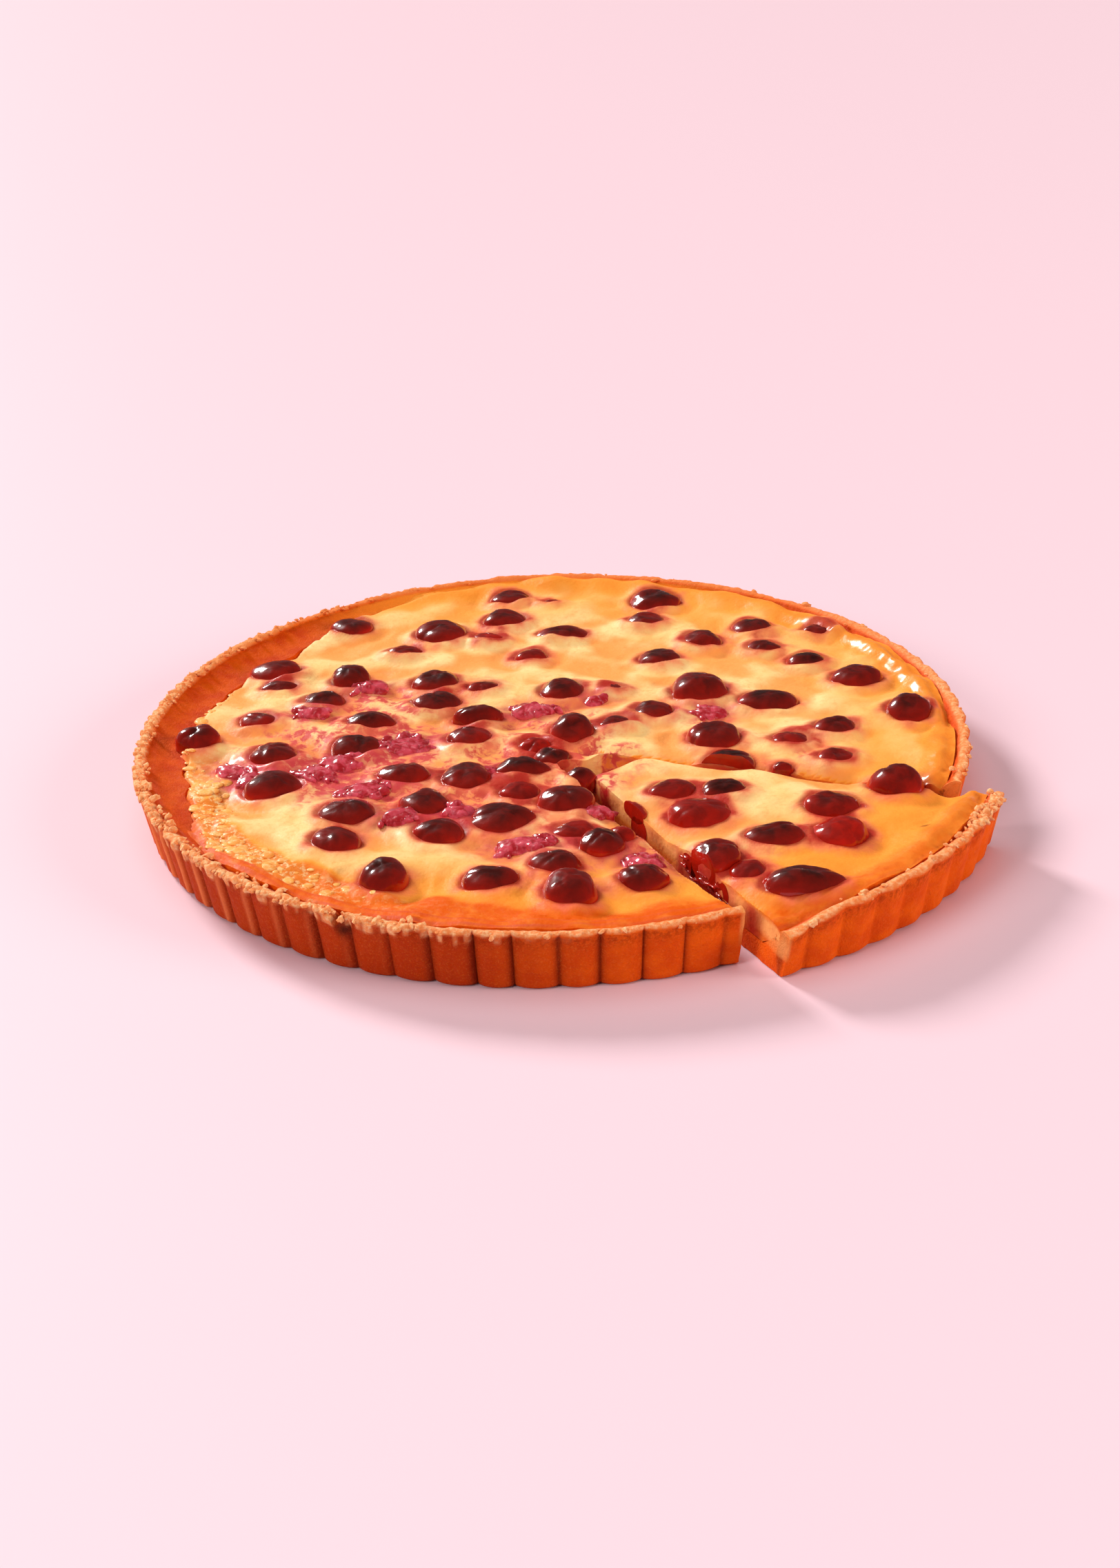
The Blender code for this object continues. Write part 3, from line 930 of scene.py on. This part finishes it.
def makeFlesh(name, material):
    points, faces, reds, made, number = [], [], [], 0, 0
    for x, y, length, width, bearing in tornFlesh:
        rng = random.Random(300 + number)
        onSlice = bool(offSlice(x, y, cut["shift"]) < 0)
        shift = cut["shift"] if onSlice else (0, 0)
        amount = max(3, round(flesh["shredsEach"] * length * width / 90))
        for _ in range(amount):
            number += 1
            turn, far = rng.uniform(0, math.tau), math.sqrt(rng.random()) * 0.42
            along, across = far * math.cos(turn) * length, far * math.sin(turn) * width
            way = math.radians(bearing)
            sx = x + along * math.cos(way) - across * math.sin(way)
            sy = y + along * math.sin(way) + across * math.cos(way)
            top = custardShape(np.array([sx - shift[0]]), np.array([sy - shift[1]]), onSlice, shift)[0]
            size = rng.uniform(0.6, 1.35)
            strip, stripFaces = shredShape(
                sx, sy, top - 0.35 + rng.uniform(-0.35, 0.4), flesh["shredLength"] * size,
                flesh["shredWidth"] * rng.uniform(0.7, 1.4), way + rng.uniform(-0.9, 0.9), rng, number,
            )
            points.append(strip)
            faces += [tuple(made + i for i in face) for face in stripFaces]
            made += len(strip)
            reds += [rng.random()] * len(strip)
    for order, (x, y, length, width, bearing) in enumerate(tornFlesh):
        # the crushed fruit under them, most of it in the custard
        way = math.radians(bearing)
        onSlice = bool(offSlice(x, y, cut["shift"]) < 0)
        shift = cut["shift"] if onSlice else (0, 0)
        level = custardShape(np.array([x - shift[0]]), np.array([y - shift[1]]), onSlice, shift)[0]
        place = dict(x=0, y=0, a=length * 0.46, b=width * 0.46, top=level + flesh["moundTop"] * 1.06, middle=level - 1.5,
                     red=1, seed=700 + order)
        body, bodyFaces, _ = cherryShape(place)
        body[:, 2] += 0.45 * lumps(body[:, 0], body[:, 1], body[:, 2], 2.6, order + 40)
        turned = body.copy()
        turned[:, 0] = x + body[:, 0] * math.cos(way) - body[:, 1] * math.sin(way)
        turned[:, 1] = y + body[:, 0] * math.sin(way) + body[:, 1] * math.cos(way)
        points.append(turned)
        faces += [tuple(made + i for i in face) for face in bodyFaces]
        made += len(turned)
        reds += [0.2 + 0.5 * rng.random()] * len(turned)
    piece = newPiece(name, np.vstack(points), faces, material)
    faceOut(piece)
    writeLayer(piece.data, "red", np.array(reds))
    return piece


scorched = [(100, -73, 0.9)]  # a tiny dark speck in the slice: x, y, size

slicedFaces = {
    # along the left cut from the slice's tip: how far, height, half length, half height, how red
    "fruit": [
        (30, 10.2, 5, 4.6, 0.0), (27, 15.0, 6, 3.2, 1.0), (68, 11.4, 7.5, 5.2, 0.2),
        (60, 12.6, 4, 3.6, 0.8), (78, 11.2, 3.4, 4.6, 0.7),
    ],
    "depth": 3.5,
    "proud": 0.15,
}


def makeSlicedFruit(name, material):
    # halves of the fruit the knife met, flush with the cut face
    point, normal = cutSides(cut["shift"])[0]
    way = math.radians(cut["leftBearing"])
    along = np.array((math.cos(way), math.sin(way)))
    halves = []
    for number, (far, height, half, tall, red) in enumerate(slicedFaces["fruit"]):
        x, y = point + along * far
        place = dict(x=0, y=0, a=half, b=slicedFaces["depth"], top=height + tall, middle=height, red=red,
                     seed=500 + number)
        piece = makeCherry("half", place, material)
        points = meshPoints(piece.data)
        points[:, 2] = np.where(points[:, 2] < height, height + (points[:, 2] - height) * tall / cherry["underside"],
                                points[:, 2])
        turned = points.copy()
        turned[:, 0] = x + points[:, 0] * math.cos(way) - points[:, 1] * math.sin(way)
        turned[:, 1] = y + points[:, 0] * math.sin(way) + points[:, 1] * math.cos(way)
        setPoints(piece.data, turned)
        trimToCut(piece, point, normal, slicedFaces["proud"])
        halves.append(piece)
    rng = random.Random(77)
    for number in range(flesh["strands"]):
        x, y = point + along * rng.uniform(55, 82) + normal * 0.35
        strip, faces = shredShape(x, y, rng.uniform(8.5, 14.5), rng.uniform(3, 6), rng.uniform(0.7, 1.3),
                                  way + rng.uniform(-0.08, 0.08), rng, 900 + number)
        strand = newPiece("strand", strip, faces)
        faceOut(strand)
        writeLayer(strand.data, "red", np.full(len(strip), rng.uniform(0.3, 1)))
        writeLayer(strand.data, "thin", np.full(len(strip), rng.uniform(0.2, 1)))
        halves.append(strand)
    return joinPieces(name, halves)


slump = {"x": 64, "y": -137, "drop": 4.6, "reach": 11}


def slumped(points):
    # the slice's front left corner has sunk and spread a little where it was cut
    apart = np.hypot(points[:, 0] - slump["x"], points[:, 1] - slump["y"])
    share = np.exp(-(apart / slump["reach"]) ** 2)
    low = points.copy()
    low[:, 2] -= slump["drop"] * share * np.clip(points[:, 2] / 20, 0, 1) ** 1.2
    return low


blisters = {
    "count": 170,
    "smallest": 0.5,
    "largest": 2.3,
}


def makeBlisters(name, material):
    # little domes the custard boiled up, at the front left and beading its edge on the left
    rng = random.Random(5)
    ball = bmesh.new()
    bmesh.ops.create_icosphere(ball, subdivisions=2, radius=1)
    shape = np.array([tuple(v.co) for v in ball.verts])
    ballFaces = [tuple(v.index for v in f.verts) for f in ball.faces]
    ball.free()
    spots = []
    while len(spots) < blisters["count"]:
        bearing = rng.uniform(-200, -112)
        radius = rng.uniform(109, 130.5)
        foot = float(wallFoot(np.array([bearing]))[0])
        zone = float(blisterZone(np.array([radius]), np.array([bearing]))[0])
        onEdge = bearing < -150 and abs(radius - foot + 1.2) < 1.4
        if radius > foot - 0.5 or (rng.random() > zone ** 1.2 and not onEdge):
            continue
        spots.append((radius * math.cos(math.radians(bearing)), radius * math.sin(math.radians(bearing))))
    x, y = (np.array(part) for part in zip(*spots))
    tops = custardShape(x, y, False, (0, 0))
    points, faces = [], []
    for number, (a, b, top) in enumerate(zip(x, y, tops)):
        size = blisters["smallest"] + (blisters["largest"] - blisters["smallest"]) * rng.random() ** 1.6
        squash = np.array([rng.uniform(0.8, 1.3), rng.uniform(0.8, 1.2), rng.uniform(0.2, 0.32)]) * size
        points.append(shape * squash + (a, b, top - 0.11 * size))
        base = len(shape) * number
        faces += [tuple(base + i for i in face) for face in ballFaces]
    return newPiece(name, np.vstack(points), faces, material)


crumbs = {
    "count": 420,
    "smallest": 0.5,
    "largest": 1.7,
}


def makeCrumbs(name, material, onSlice):
    # grains and short flakes caught along the trimmed edge, thickest where it is crumbly
    rng = random.Random(11 if onSlice else 10)
    shift = cut["shift"] if onSlice else (0, 0)
    ball = bmesh.new()
    bmesh.ops.create_icosphere(ball, subdivisions=2, radius=1)
    shape = np.array([tuple(v.co) for v in ball.verts])
    ballFaces = [tuple(v.index for v in f.verts) for f in ball.faces]
    ball.free()
    points, faces, made = [], [], 0
    count = crumbs["count"] // 4 if onSlice else crumbs["count"]
    while made < count:
        bearing = rng.uniform(-68, -22) if onSlice else rng.uniform(-180, 180)
        chance = float(crumbliness(np.array([bearing]))[0])
        if rng.random() > chance ** 2.2:
            continue
        radius = rng.choice((rng.uniform(134.2, 138.9), rng.uniform(137.3, 139.0)))
        x, y = radius * math.cos(math.radians(bearing)), radius * math.sin(math.radians(bearing))
        if not onSlice and -70 < bearing < -21:
            continue
        if onSlice and offSlice(x, y) > -1.5:
            continue
        size = crumbs["smallest"] + (crumbs["largest"] - crumbs["smallest"]) * rng.random() ** 2
        squash = np.array([rng.uniform(0.6, 1.5), rng.uniform(0.5, 1.0), rng.uniform(0.45, 0.9)]) * size
        spin = Matrix.Rotation(rng.uniform(0, 6.28), 3, "Z") @ Matrix.Rotation(rng.uniform(-0.7, 0.7), 3, "X")
        body = shape * (1 + 0.4 * lumps(*(shape + made).T, 0.7, made % 50))[:, None] * squash
        body = body @ np.array(spin).T
        edgeDrop = 0.25 * max(0, radius - 137) ** 2
        height = min(crust["rimTop"] - 0.75 - edgeDrop + rng.uniform(-0.5, 0.2), 20.6 - size * 0.6)
        body += (x + shift[0], y + shift[1], height)
        flat = np.hypot(body[:, 0] - shift[0], body[:, 1] - shift[1])
        body[:, :2] *= np.minimum(1, 139.7 / flat)[:, None] if not onSlice else 1
        base = len(shape) * made
        points.append(body)
        faces += [tuple(base + i for i in face) for face in ballFaces]
        made += 1
    piece = newPiece(name, np.vstack(points), faces, material)
    return piece


# ---------- finishes

def crustFinish():
    nodes = Nodes("bakedCrust")
    grain, blotch, sand = nodes.noise(1.4, 4, 0.65), nodes.noise(8, 3, 0.5), nodes.noise(0.6, 2, 0.6)
    groove, edge, inner, under = (nodes.layer(key) for key in ("groove", "edge", "inner", "under"))
    toasted, burn, opened, pink = (nodes.layer(key) for key in ("toasted", "burn", "opened", "pink"))
    ridge, golden = nodes.layer("ridge"), nodes.layer("golden")
    side = nodes.blend(nodes.remap(blotch, 0.35, 0.68), tint(242, 98, 6), tint(226, 80, 4))
    # painted shade on the front-left side of the crust
    side = nodes.blend(nodes.maths("MULTIPLY", toasted, 0.85), side, tint(172, 45, 3))
    # painted shade under the rim, broken up by the grain
    side = nodes.blend(nodes.maths("MULTIPLY", under, nodes.remap(grain, 0.4, 0.6, 0.1, 0.6)), side, tint(150, 44, 6))
    # painted shade darkening the flute grooves
    side = nodes.blend(nodes.remap(groove, 0.15, 0.85, 0, 0.6), side, tint(124, 34, 5))
    side = nodes.blend(nodes.remap(sand, 0.5, 0.74, 0, 0.16), side, tint(248, 150, 70))
    # painted highlight along each flute's raised line
    side = nodes.blend(nodes.maths("MULTIPLY", ridge, 0.9), side, tint(250, 142, 86))
    wall = nodes.blend(nodes.remap(blotch, 0.3, 0.7), tint(196, 60, 6), tint(216, 84, 12))
    wall = nodes.blend(nodes.remap(grain, 0.5, 0.75, 0, 0.3), wall, tint(176, 56, 18))
    # painted light on the back of the inner wall
    wall = nodes.blend(nodes.remap(golden, 0.72, 0.98, 0, 0.9), wall, tint(250, 146, 48))
    colour = nodes.blend(inner, side, wall)
    rim = nodes.blend(nodes.remap(grain, 0.4, 0.66), tint(244, 146, 84), tint(255, 200, 146))
    rim = nodes.blend(nodes.remap(golden, 0.2, 0.8, 0, 0.9), rim, tint(240, 138, 72))
    colour = nodes.blend(edge, colour, rim)
    colour = nodes.blend(nodes.maths("MULTIPLY", pink, 0.8), colour, tint(196, 84, 64))
    inside = nodes.blend(nodes.remap(blotch, 0.35, 0.65), tint(236, 134, 62), tint(250, 168, 98))
    colour = nodes.blend(nodes.maths("MULTIPLY", opened, 0.7), colour, inside)
    colour = nodes.blend(nodes.maths("MULTIPLY", burn, 0.9), colour, tint(60, 20, 10))
    height = nodes.maths("ADD", nodes.maths("MULTIPLY", grain, 0.8), nodes.maths("MULTIPLY", sand, 0.5))
    normal = nodes.bump(height, 0.45)
    rough = nodes.remap(grain, 0.3, 0.7, 0.6, 0.85)
    return nodes.finish(Base_Color=colour, Roughness=rough, Normal=normal, Specular_IOR_Level=0.12)


def custardFinish(name="bakedCustard", depth=0.12):
    nodes = Nodes(name)
    soft, fine, blotch = nodes.noise(16, 3, 0.5), nodes.noise(1.3, 4, 0.6), nodes.noise(5, 3, 0.55)
    juice, stain, brown = nodes.layer("juice"), nodes.layer("flesh"), nodes.layer("brown")
    hollow, blister, opened = nodes.layer("hollow"), nodes.layer("blister"), nodes.layer("opened")
    wet, pinkLine, run = nodes.layer("wet"), nodes.layer("pink"), nodes.layer("run")
    low, wide = nodes.layer("low"), nodes.layer("soaked")
    colour = nodes.blend(nodes.remap(soft, 0.36, 0.66), tint(250, 215, 148), tint(249, 201, 128))
    # painted shade in the valleys between the pillows
    colour = nodes.blend(nodes.maths("MULTIPLY", low, 0.9), colour, tint(250, 154, 74))
    colour = nodes.blend(nodes.remap(blotch, 0.5, 0.75, 0, 0.3), colour, tint(248, 168, 90))
    colour = nodes.blend(nodes.remap(nodes.noise(2.1, 4, 0.6), 0.5, 0.7, 0, 0.3), colour, tint(244, 152, 74))
    golden = nodes.remap(brown, 0.0, 0.55)
    colour = nodes.blend(golden, colour, tint(252, 160, 58))
    brownShare = nodes.maths("MULTIPLY", nodes.remap(brown, 0.35, 1.0), nodes.remap(blotch, 0.25, 0.7, 0.7, 1.1), True)
    colour = nodes.blend(brownShare, colour, tint(224, 90, 8))
    colour = nodes.blend(nodes.remap(blister, 0, 1, 0, 0.35), colour, tint(255, 184, 84))
    patches = nodes.maths("MULTIPLY", nodes.remap(nodes.noise(7, 3, 0.6), 0.44, 0.56), blister)
    colour = nodes.blend(nodes.maths("MULTIPLY", patches, 0.85), colour, tint(224, 116, 30))
    # pale specks over the blistered zone: painted glints on the bubbles, also used as bumps
    glintSpecks = nodes.maths("MULTIPLY", nodes.remap(nodes.noise(1.7, 3, 0.65), 0.48, 0.64), blister)
    colour = nodes.blend(nodes.maths("MULTIPLY", glintSpecks, 0.75), colour, tint(255, 236, 176))
    colour = nodes.blend(nodes.maths("MULTIPLY", opened, 0.9), colour, tint(255, 178, 104))
    patchy = nodes.remap(blotch, 0.3, 0.65, 0.7, 1.1)
    soaked = nodes.maths("MULTIPLY", juice, patchy, True)
    deep = nodes.maths("MULTIPLY", wide, nodes.remap(nodes.noise(3.2, 4, 0.6, 0.5), 0.36, 0.62, 0.35, 1.1), True)
    colour = nodes.blend(nodes.remap(deep, 0.1, 0.75, 0, 0.75), colour, tint(234, 128, 98))
    colour = nodes.blend(nodes.remap(deep, 0.42, 0.92, 0, 0.85), colour, tint(200, 56, 60))
    colour = nodes.blend(nodes.remap(soaked, 0.05, 0.6, 0, 0.75), colour, tint(240, 122, 86))
    colour = nodes.blend(nodes.remap(soaked, 0.42, 0.95, 0, 0.9), colour, tint(184, 46, 38))
    # juice round each cherry, darkened as painted contact shade
    colour = nodes.blend(nodes.maths("MULTIPLY", hollow, 0.75), colour, tint(176, 36, 26))
    colour = nodes.blend(nodes.maths("MULTIPLY", stain, 0.85), colour, tint(206, 60, 74))
    colour = nodes.blend(nodes.maths("MULTIPLY", run, 0.85), colour, tint(190, 30, 36))
    colour = nodes.blend(nodes.maths("MULTIPLY", pinkLine, 0.75), colour, tint(200, 78, 60))
    colour = nodes.blend(nodes.maths("MULTIPLY", nodes.layer("speck"), 0.85), colour, tint(104, 44, 10))
    normal = nodes.bump(fine, 0.1)
    normal = nodes.bump(nodes.noise(2.6, 2, 0.5), 0.5, 0.5, normal)
    normal = nodes.bump(glintSpecks, 0.25, 0.4, normal)
    rough = nodes.maths("SUBTRACT", nodes.remap(fine, 0.3, 0.7, 0.48, 0.6), nodes.maths("MULTIPLY", wet, 0.2))
    nodes.finish(Subsurface_Weight=depth, Subsurface_Scale=0.002, Subsurface_Radius=(1.0, 0.9, 0.75))
    sheen = nodes.maths("ADD", nodes.maths("MULTIPLY", wet, 0.6), nodes.maths("MULTIPLY", stain, 0.5), True)
    sheen = nodes.maths("ADD", sheen, nodes.maths("MULTIPLY", hollow, 0.4), True)
    nodes.finish(Coat_Weight=sheen, Coat_Roughness=0.2, Specular_IOR_Level=0.13)
    return nodes.finish(Base_Color=colour, Roughness=rough, Normal=normal)


def cherryFinish():
    nodes = Nodes("cookedCherry")
    mottle, fine = nodes.noise(4.5, 3, 0.55, 0.4), nodes.noise(1.0, 3, 0.6)
    red, thin = nodes.layer("red"), nodes.layer("thin")
    dark = nodes.blend(nodes.remap(mottle, 0.35, 0.7), tint(40, 9, 4), tint(88, 13, 6))
    bright = nodes.blend(nodes.remap(mottle, 0.3, 0.7), tint(120, 14, 6), tint(168, 22, 8))
    colour = nodes.blend(red, dark, bright)
    # painted light: brighter red at each cherry's edge and back; also the redder cut flesh
    colour = nodes.blend(nodes.maths("MULTIPLY", thin, 0.95), colour, tint(206, 32, 12))
    normal = nodes.bump(fine, 0.08, 0.6)
    normal = nodes.bump(mottle, 0.35, 0.4, normal)
    nodes.finish(Coat_Weight=0.85, Coat_Roughness=0.06, Coat_IOR=1.5, Specular_IOR_Level=0.1)
    nodes.finish(Subsurface_Weight=0.08, Subsurface_Scale=0.003, Subsurface_Radius=(1.0, 0.1, 0.05))
    return nodes.finish(Base_Color=colour, Roughness=0.35, Normal=normal)


def fleshFinish():
    nodes = Nodes("tornCherryFlesh")
    mottle, fine = nodes.noise(3.6, 2, 0.5, 0.6), nodes.noise(1.2, 2, 0.5)
    red = nodes.layer("red")
    colour = nodes.blend(nodes.remap(mottle, 0.38, 0.6), tint(172, 22, 34), tint(216, 74, 92))
    colour = nodes.blend(nodes.remap(red, 0.5, 1.0, 0, 0.7), colour, tint(164, 14, 22))
    # pale pink spots: painted glints on the wet flesh
    colour = nodes.blend(nodes.remap(fine, 0.52, 0.72, 0, 0.35), colour, tint(242, 150, 160))
    normal = nodes.bump(mottle, 0.3, 0.7)
    nodes.finish(Coat_Weight=1.0, Coat_Roughness=0.1, Subsurface_Weight=0.15, Subsurface_Scale=0.002)
    nodes.finish(Coat_Normal=normal)
    return nodes.finish(Base_Color=colour, Roughness=0.3, Normal=normal, Subsurface_Radius=(1, 0.3, 0.25))


# ---------- building

wedge = makeWedge()
print("cut: wedge ready")

crustSkin, custardSkin = crustFinish(), custardFinish()
cherrySkin, fleshSkin = cherryFinish(), fleshFinish()

pieCrust = makeCrust()
sliceCrust = pieCrust.copy()
sliceCrust.data = pieCrust.data.copy()
sliceCrust.name = "sliceCrust"
bpy.context.scene.collection.objects.link(sliceCrust)
pieCustard = makeCustard("pieCustard", False, (0, 0))
sliceCustard = makeCustard("sliceCustard", True, cut["shift"])
for piece, keep in ((pieCrust, "DIFFERENCE"), (sliceCrust, "INTERSECT"),
                    (pieCustard, "DIFFERENCE"), (sliceCustard, "INTERSECT")):
    cutPiece(piece, wedge, keep)
    if keep == "INTERSECT":
        setPoints(piece.data, meshPoints(piece.data) + np.array((*cut["shift"], 0)))
paintCrust(pieCrust, (0, 0))
paintCrust(sliceCrust, cut["shift"])
paintCustard(pieCustard, False, (0, 0))
paintCustard(sliceCustard, True, cut["shift"])
for piece in (sliceCrust, sliceCustard):
    setPoints(piece.data, slumped(meshPoints(piece.data)))
for piece, skin in ((pieCrust, crustSkin), (sliceCrust, crustSkin), (pieCustard, custardSkin), (sliceCustard, custardSkin)):
    piece.data.materials.clear()
    piece.data.materials.append(skin)
bpy.data.objects.remove(wedge, do_unlink=True)
settle(pieCrust, "crust", "pie_crust")
settle(sliceCrust, "crust", "slice_crust")
settle(pieCustard, "custard", "pie_custard")
settle(sliceCustard, "custard", "slice_custard")
print("crust: %d faces, custard: %d faces" % (len(pieCrust.data.polygons), len(pieCustard.data.polygons)))

for name, place in places.items():
    piece = makeCherry(name.replace("_", ""), place, cherrySkin)
    if name == "cherry_31":
        point, normal = cutSides()[1]
        trimToCut(piece, point, -normal, -0.2)
    if name == "cherry_54":
        point, normal = cutSides(cut["shift"])[0]
        trimToCut(piece, point, normal, 0.2)
    settle(piece, "cherry", name)
sunkPieces = [makeCherry("sunk", place, cherrySkin) for place in sunk]
sunkOnes = joinPieces("sunkCherries", sunkPieces)
settle(sunkOnes, "cherry")
settle(makeFlesh("tornFlesh", fleshSkin), "cherry")
settle(makeSlicedFruit("slicedFruit", cherrySkin), "cherry")
print("cherries: %d whole, %d sunk, %d torn" % (len(places), len(sunk), len(tornFlesh)))

blistered = makeBlisters("custardBlisters", custardFinish("custardBubbles", 0))
count = len(blistered.data.vertices)
for layer, value in (("juice", 0), ("flesh", 0), ("brown", 0.3), ("hollow", 0), ("blister", 0.5), ("opened", 0),
                     ("wet", 0.3), ("pink", 0), ("run", 0), ("low", 0.3), ("soaked", 0), ("speck", 0)):
    writeLayer(blistered.data, layer, np.full(count, value))
settle(blistered, "custard")
print("custard: %d blisters" % blisters["count"])

for name, onSlice in (("pieCrumbs", False), ("sliceCrumbs", True)):
    piece = makeCrumbs(name, crustSkin, onSlice)
    if onSlice:
        setPoints(piece.data, slumped(meshPoints(piece.data)))
    count = len(piece.data.vertices)
    for layer, value in (("edge", 1), ("inner", 0), ("groove", 0), ("under", 0), ("toasted", 0), ("burn", 0),
                         ("opened", 0), ("pink", 0), ("ridge", 0)):
        writeLayer(piece.data, layer, np.full(count, value))
    corners = meshPoints(piece.data)
    writeLayer(piece.data, "golden", around(bearingOf(corners[:, 0], corners[:, 1]), 95, 75))
    settle(piece, "crust")
print("crumbs: %d" % crumbs["count"])


# ---------- floor, lights and camera

stage = {
    "floor": (238, 206, 218),
    "backdrop": (247, 214, 222),
    "world": 0.1,
    "key": 3.0,
    "top": 0.85,
    "fill": 1.85,
    "side": 1.5,
}


def makeFloor():
    bpy.ops.mesh.primitive_plane_add(size=60, location=(0, 0, -0.0002))
    floor = bpy.context.object
    floor.name = "floor"
    material = bpy.data.materials.new("paleFloor")
    material.use_nodes = True
    shader = material.node_tree.nodes["Principled BSDF"]
    shader.inputs["Base Color"].default_value = tint(*stage["floor"])
    shader.inputs["Roughness"].default_value = 0.6
    floor.data.materials.append(material)


def makeSun(name, toward, spread, strength, colour, mirrored):
    light = bpy.data.lights.new(name, "SUN")
    light.angle = math.radians(spread)
    light.energy = strength
    light.color = colour
    lamp = bpy.data.objects.new(name, light)
    bpy.context.scene.collection.objects.link(lamp)
    lamp.rotation_euler = (-Vector(toward)).to_track_quat("-Z", "Y").to_euler()
    lamp.visible_glossy = mirrored  # whether it shows as a glint


def makeCamera():
    # looks down a little over 27 degrees and leans slightly to one side
    aim, far = Vector((0.0022, -0.0104, 0)), 0.63
    rise, roll = math.radians(27.05), math.radians(-1.9)
    back = Vector((0, -math.cos(rise), math.sin(rise)))
    side = Vector((1, 0, 0))
    up = back.cross(side)
    right = side * math.cos(roll) + up * math.sin(roll)
    up = up * math.cos(roll) - side * math.sin(roll)
    data = bpy.data.cameras.new("camera")
    data.lens = 42.74
    data.clip_start = 0.01
    camera = bpy.data.objects.new("camera", data)
    bpy.context.scene.collection.objects.link(camera)
    axes = Matrix((right, up, back)).transposed().to_4x4()
    camera.matrix_world = Matrix.Translation(aim + back * far) @ axes
    bpy.context.scene.camera = camera


def lightWorld():
    world = bpy.data.worlds.new("studio")
    world.use_nodes = True
    nodes, links = world.node_tree.nodes, world.node_tree.links
    shade = nodes["Background"]
    shade.inputs["Color"].default_value = tint(250, 240, 244)
    shade.inputs["Strength"].default_value = stage["world"]
    # what shows past the end of the floor is as pale as the floor, and lights nothing
    far = nodes.new("ShaderNodeBackground")
    far.inputs["Color"].default_value = tint(*stage["backdrop"])
    path, mix = nodes.new("ShaderNodeLightPath"), nodes.new("ShaderNodeMixShader")
    links.new(path.outputs["Is Camera Ray"], mix.inputs[0])
    links.new(shade.outputs[0], mix.inputs[1])
    links.new(far.outputs[0], mix.inputs[2])
    links.new(mix.outputs[0], nodes["World Output"].inputs["Surface"])
    bpy.context.scene.world = world


makeFloor()
makeSun("key", (-1.5, 1.9, 1.35), 15, stage["key"], (1, 0.97, 0.94), True)
makeSun("top", (-0.2, 0.2, 2.5), 50, stage["top"], (1, 0.98, 0.96), False)
makeSun("fill", (2.2, -0.6, 0.8), 25, stage["fill"], (1, 0.9, 0.8), False)
makeSun("side", (-1.7, -1.1, 1.2), 25, stage["side"], (1, 0.95, 0.9), False)
lightWorld()
makeCamera()
bpy.context.scene.view_settings.view_transform = "Standard"
print("stage: floor, lights and camera")
